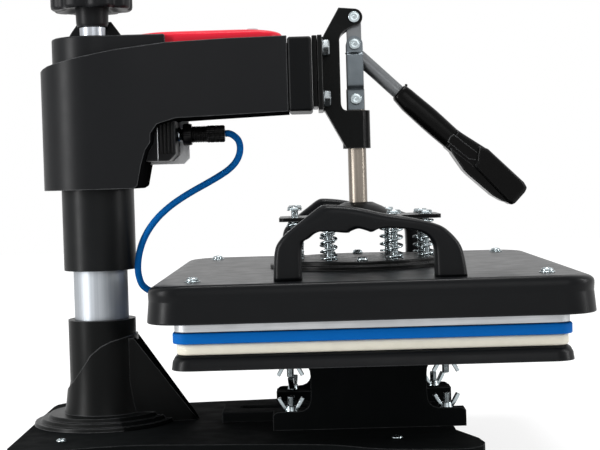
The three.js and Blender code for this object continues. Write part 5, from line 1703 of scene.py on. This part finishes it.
def handle_mesh(name, node):
    """A bridge handle whose sections run between its outer line and its scalloped inner line."""
    a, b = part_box(node)
    half, tall = (b.x - a.x) / 2, b.z - a.z
    across = Vector((0, (b.y - a.y) / 2, 0))
    outer = [Vector((x * half, z * tall, 0)) for x, z in HANDLE_OUTER_SHARES]
    inner = [
        Vector((x * HANDLE_INNER_HALF, z * HANDLE_INNER_SHARE * tall, 0)) for x, z in HANDLE_INNER_SHARES
    ]
    rings = []
    for out, under in zip(curved(outer, HANDLE_STEPS), curved(inner, HANDLE_STEPS)):
        core = (out + under) / 2
        reach = (out - under) / 2
        place = Vector(((a.x + b.x) / 2 + core.x, (a.y + b.y) / 2, a.z + max(core.y, 0.0)))
        rings.append(rounded(place, Vector((reach.x, 0, reach.y)), across, HANDLE_POWER, HANDLE_SIDES))
    return lofted(name, rings)


def gland_mesh():
    """The stepped gland that holds the lead in the cover's side."""
    a = low("platen_cover")
    end = lead_route()[-1]
    long = 2 * middle("silicone_pad").x - high("platen_cover").x - a.x
    profile = [(radius, share * long) for radius, share in GLAND_PROFILE]
    grooves = knurled(count=12, depth=0.05)
    return turned("lead_gland", profile, Vector((a.x, end.y, end.z)), GLAND_SIDES, "X", grooves)


class HEATPRESS_OT_head(bpy.types.Operator):
    """Makes the disc, the cover and the handles, and dresses the shaft, the spring plate and the platen"""

    bl_idname = "heatpress.head"
    bl_label = "Press head"

    def execute(self, context):
        edge = edge_radius()
        dress("press_shaft", "nickel", edge / 2)
        dress("spring_plate", "casting", edge / 2)
        dress("heating_platen", "aluminium", edge)
        self.disc()
        lid = finished("cover_plastic")
        cover = shown("cover_shell", cover_mesh(), "platen", lid, ("platen_cover",))
        soften(cover, COVER_EDGE, 2, COVER_ANGLE)
        gland = finished("fitting_plastic")
        shown("lead_gland", gland_mesh(), "platen", gland, ("platen_cover",))
        for row in ("front", "rear"):
            name, node = f"handle_bridge_{row}", f"handle_{row}"
            shown(name, handle_mesh(name, node), "platen", lid, (node,))
        self.cover_screws()
        return {"FINISHED"}

    def disc(self):
        """The mounting disc with its two screws."""
        a = low("mounting_disc")
        radius = (high("mounting_disc").x - a.x) / 2
        top = low("spring_front_left_outer").z - CLEARANCE - a.z
        mesh, paint = disc_mesh(radius, top), finished("casting")
        plate = shown("disc_plate", mesh, "platen", paint, ("mounting_disc",))
        soften(plate, DISC_EDGE, 2)
        for name, side in (("disc_screw_front", -1), ("disc_screw_rear", 1)):
            place = Vector((a.x + radius, a.y + radius + side * DISC_SCREW_OUT, a.z + top))
            plated(name, crossed(name, *DISC_SCREW_SIZE, place, side / 2), "platen")

    def cover_screws(self):
        """The four screws in the cover's corners, each on a washer."""
        for row, y in COVER_SCREW_ROWS.items():
            for column, x in COVER_SCREW_COLUMNS.items():
                name = f"cover_screw_{row}_{column}"
                place = spot("heating_platen", x, y, 1.0)
                place.z = high("platen_cover").z - COVER_SCREW_SUNK
                radius, height = COVER_WASHER
                washer = disc("washer", radius, 0, height, place)
                head = crossed("head", *COVER_SCREW_SIZE, place + Vector((0, 0, height)), x)
                plated(name, merged(name, [washer, head]), "platen")


class HEATPRESS_PT_panel(bpy.types.Panel):
    """Lists the heat press's pieces and sizes"""

    bl_label = "Heat press"
    bl_idname = "HEATPRESS_PT_panel"
    bl_space_type = "VIEW_3D"
    bl_region_type = "UI"
    bl_category = "Heat press"

    def draw(self, context):
        layout = self.layout
        for operator in OPERATORS:
            layout.operator(operator.bl_idname)
        for holder in (context.scene.heat_press_sizes, context.scene.heat_press_colours):
            for key in holder.__annotations__:
                layout.prop(holder, key)


OPERATORS = (
    HEATPRESS_OT_stage,
    HEATPRESS_OT_lead,
    HEATPRESS_OT_base,
    HEATPRESS_OT_pads,
    HEATPRESS_OT_wing_nuts,
    HEATPRESS_OT_arm,
    HEATPRESS_OT_panel_top,
    HEATPRESS_OT_connector,
    HEATPRESS_OT_knob,
    HEATPRESS_OT_lever,
    HEATPRESS_OT_springs,
    HEATPRESS_OT_head,
)
CLASSES = (HeatPressSizes, HeatPressColours, *OPERATORS, HEATPRESS_PT_panel)


def register():
    """Adds the classes and the scene's settings."""
    for cls in CLASSES:
        bpy.utils.register_class(cls)
    bpy.types.Scene.heat_press_sizes = bpy.props.PointerProperty(type=HeatPressSizes)
    bpy.types.Scene.heat_press_colours = bpy.props.PointerProperty(type=HeatPressColours)


def unregister():
    """Takes them away again."""
    del bpy.types.Scene.heat_press_colours
    del bpy.types.Scene.heat_press_sizes
    for cls in reversed(CLASSES):
        bpy.utils.unregister_class(cls)


def main():
    """Makes every piece."""
    register()
    for operator in OPERATORS:
        space, name = operator.bl_idname.split(".")
        getattr(getattr(bpy.ops, space), name)()
    bpy.context.view_layer.update()


if __name__ == "__main__":
    main()
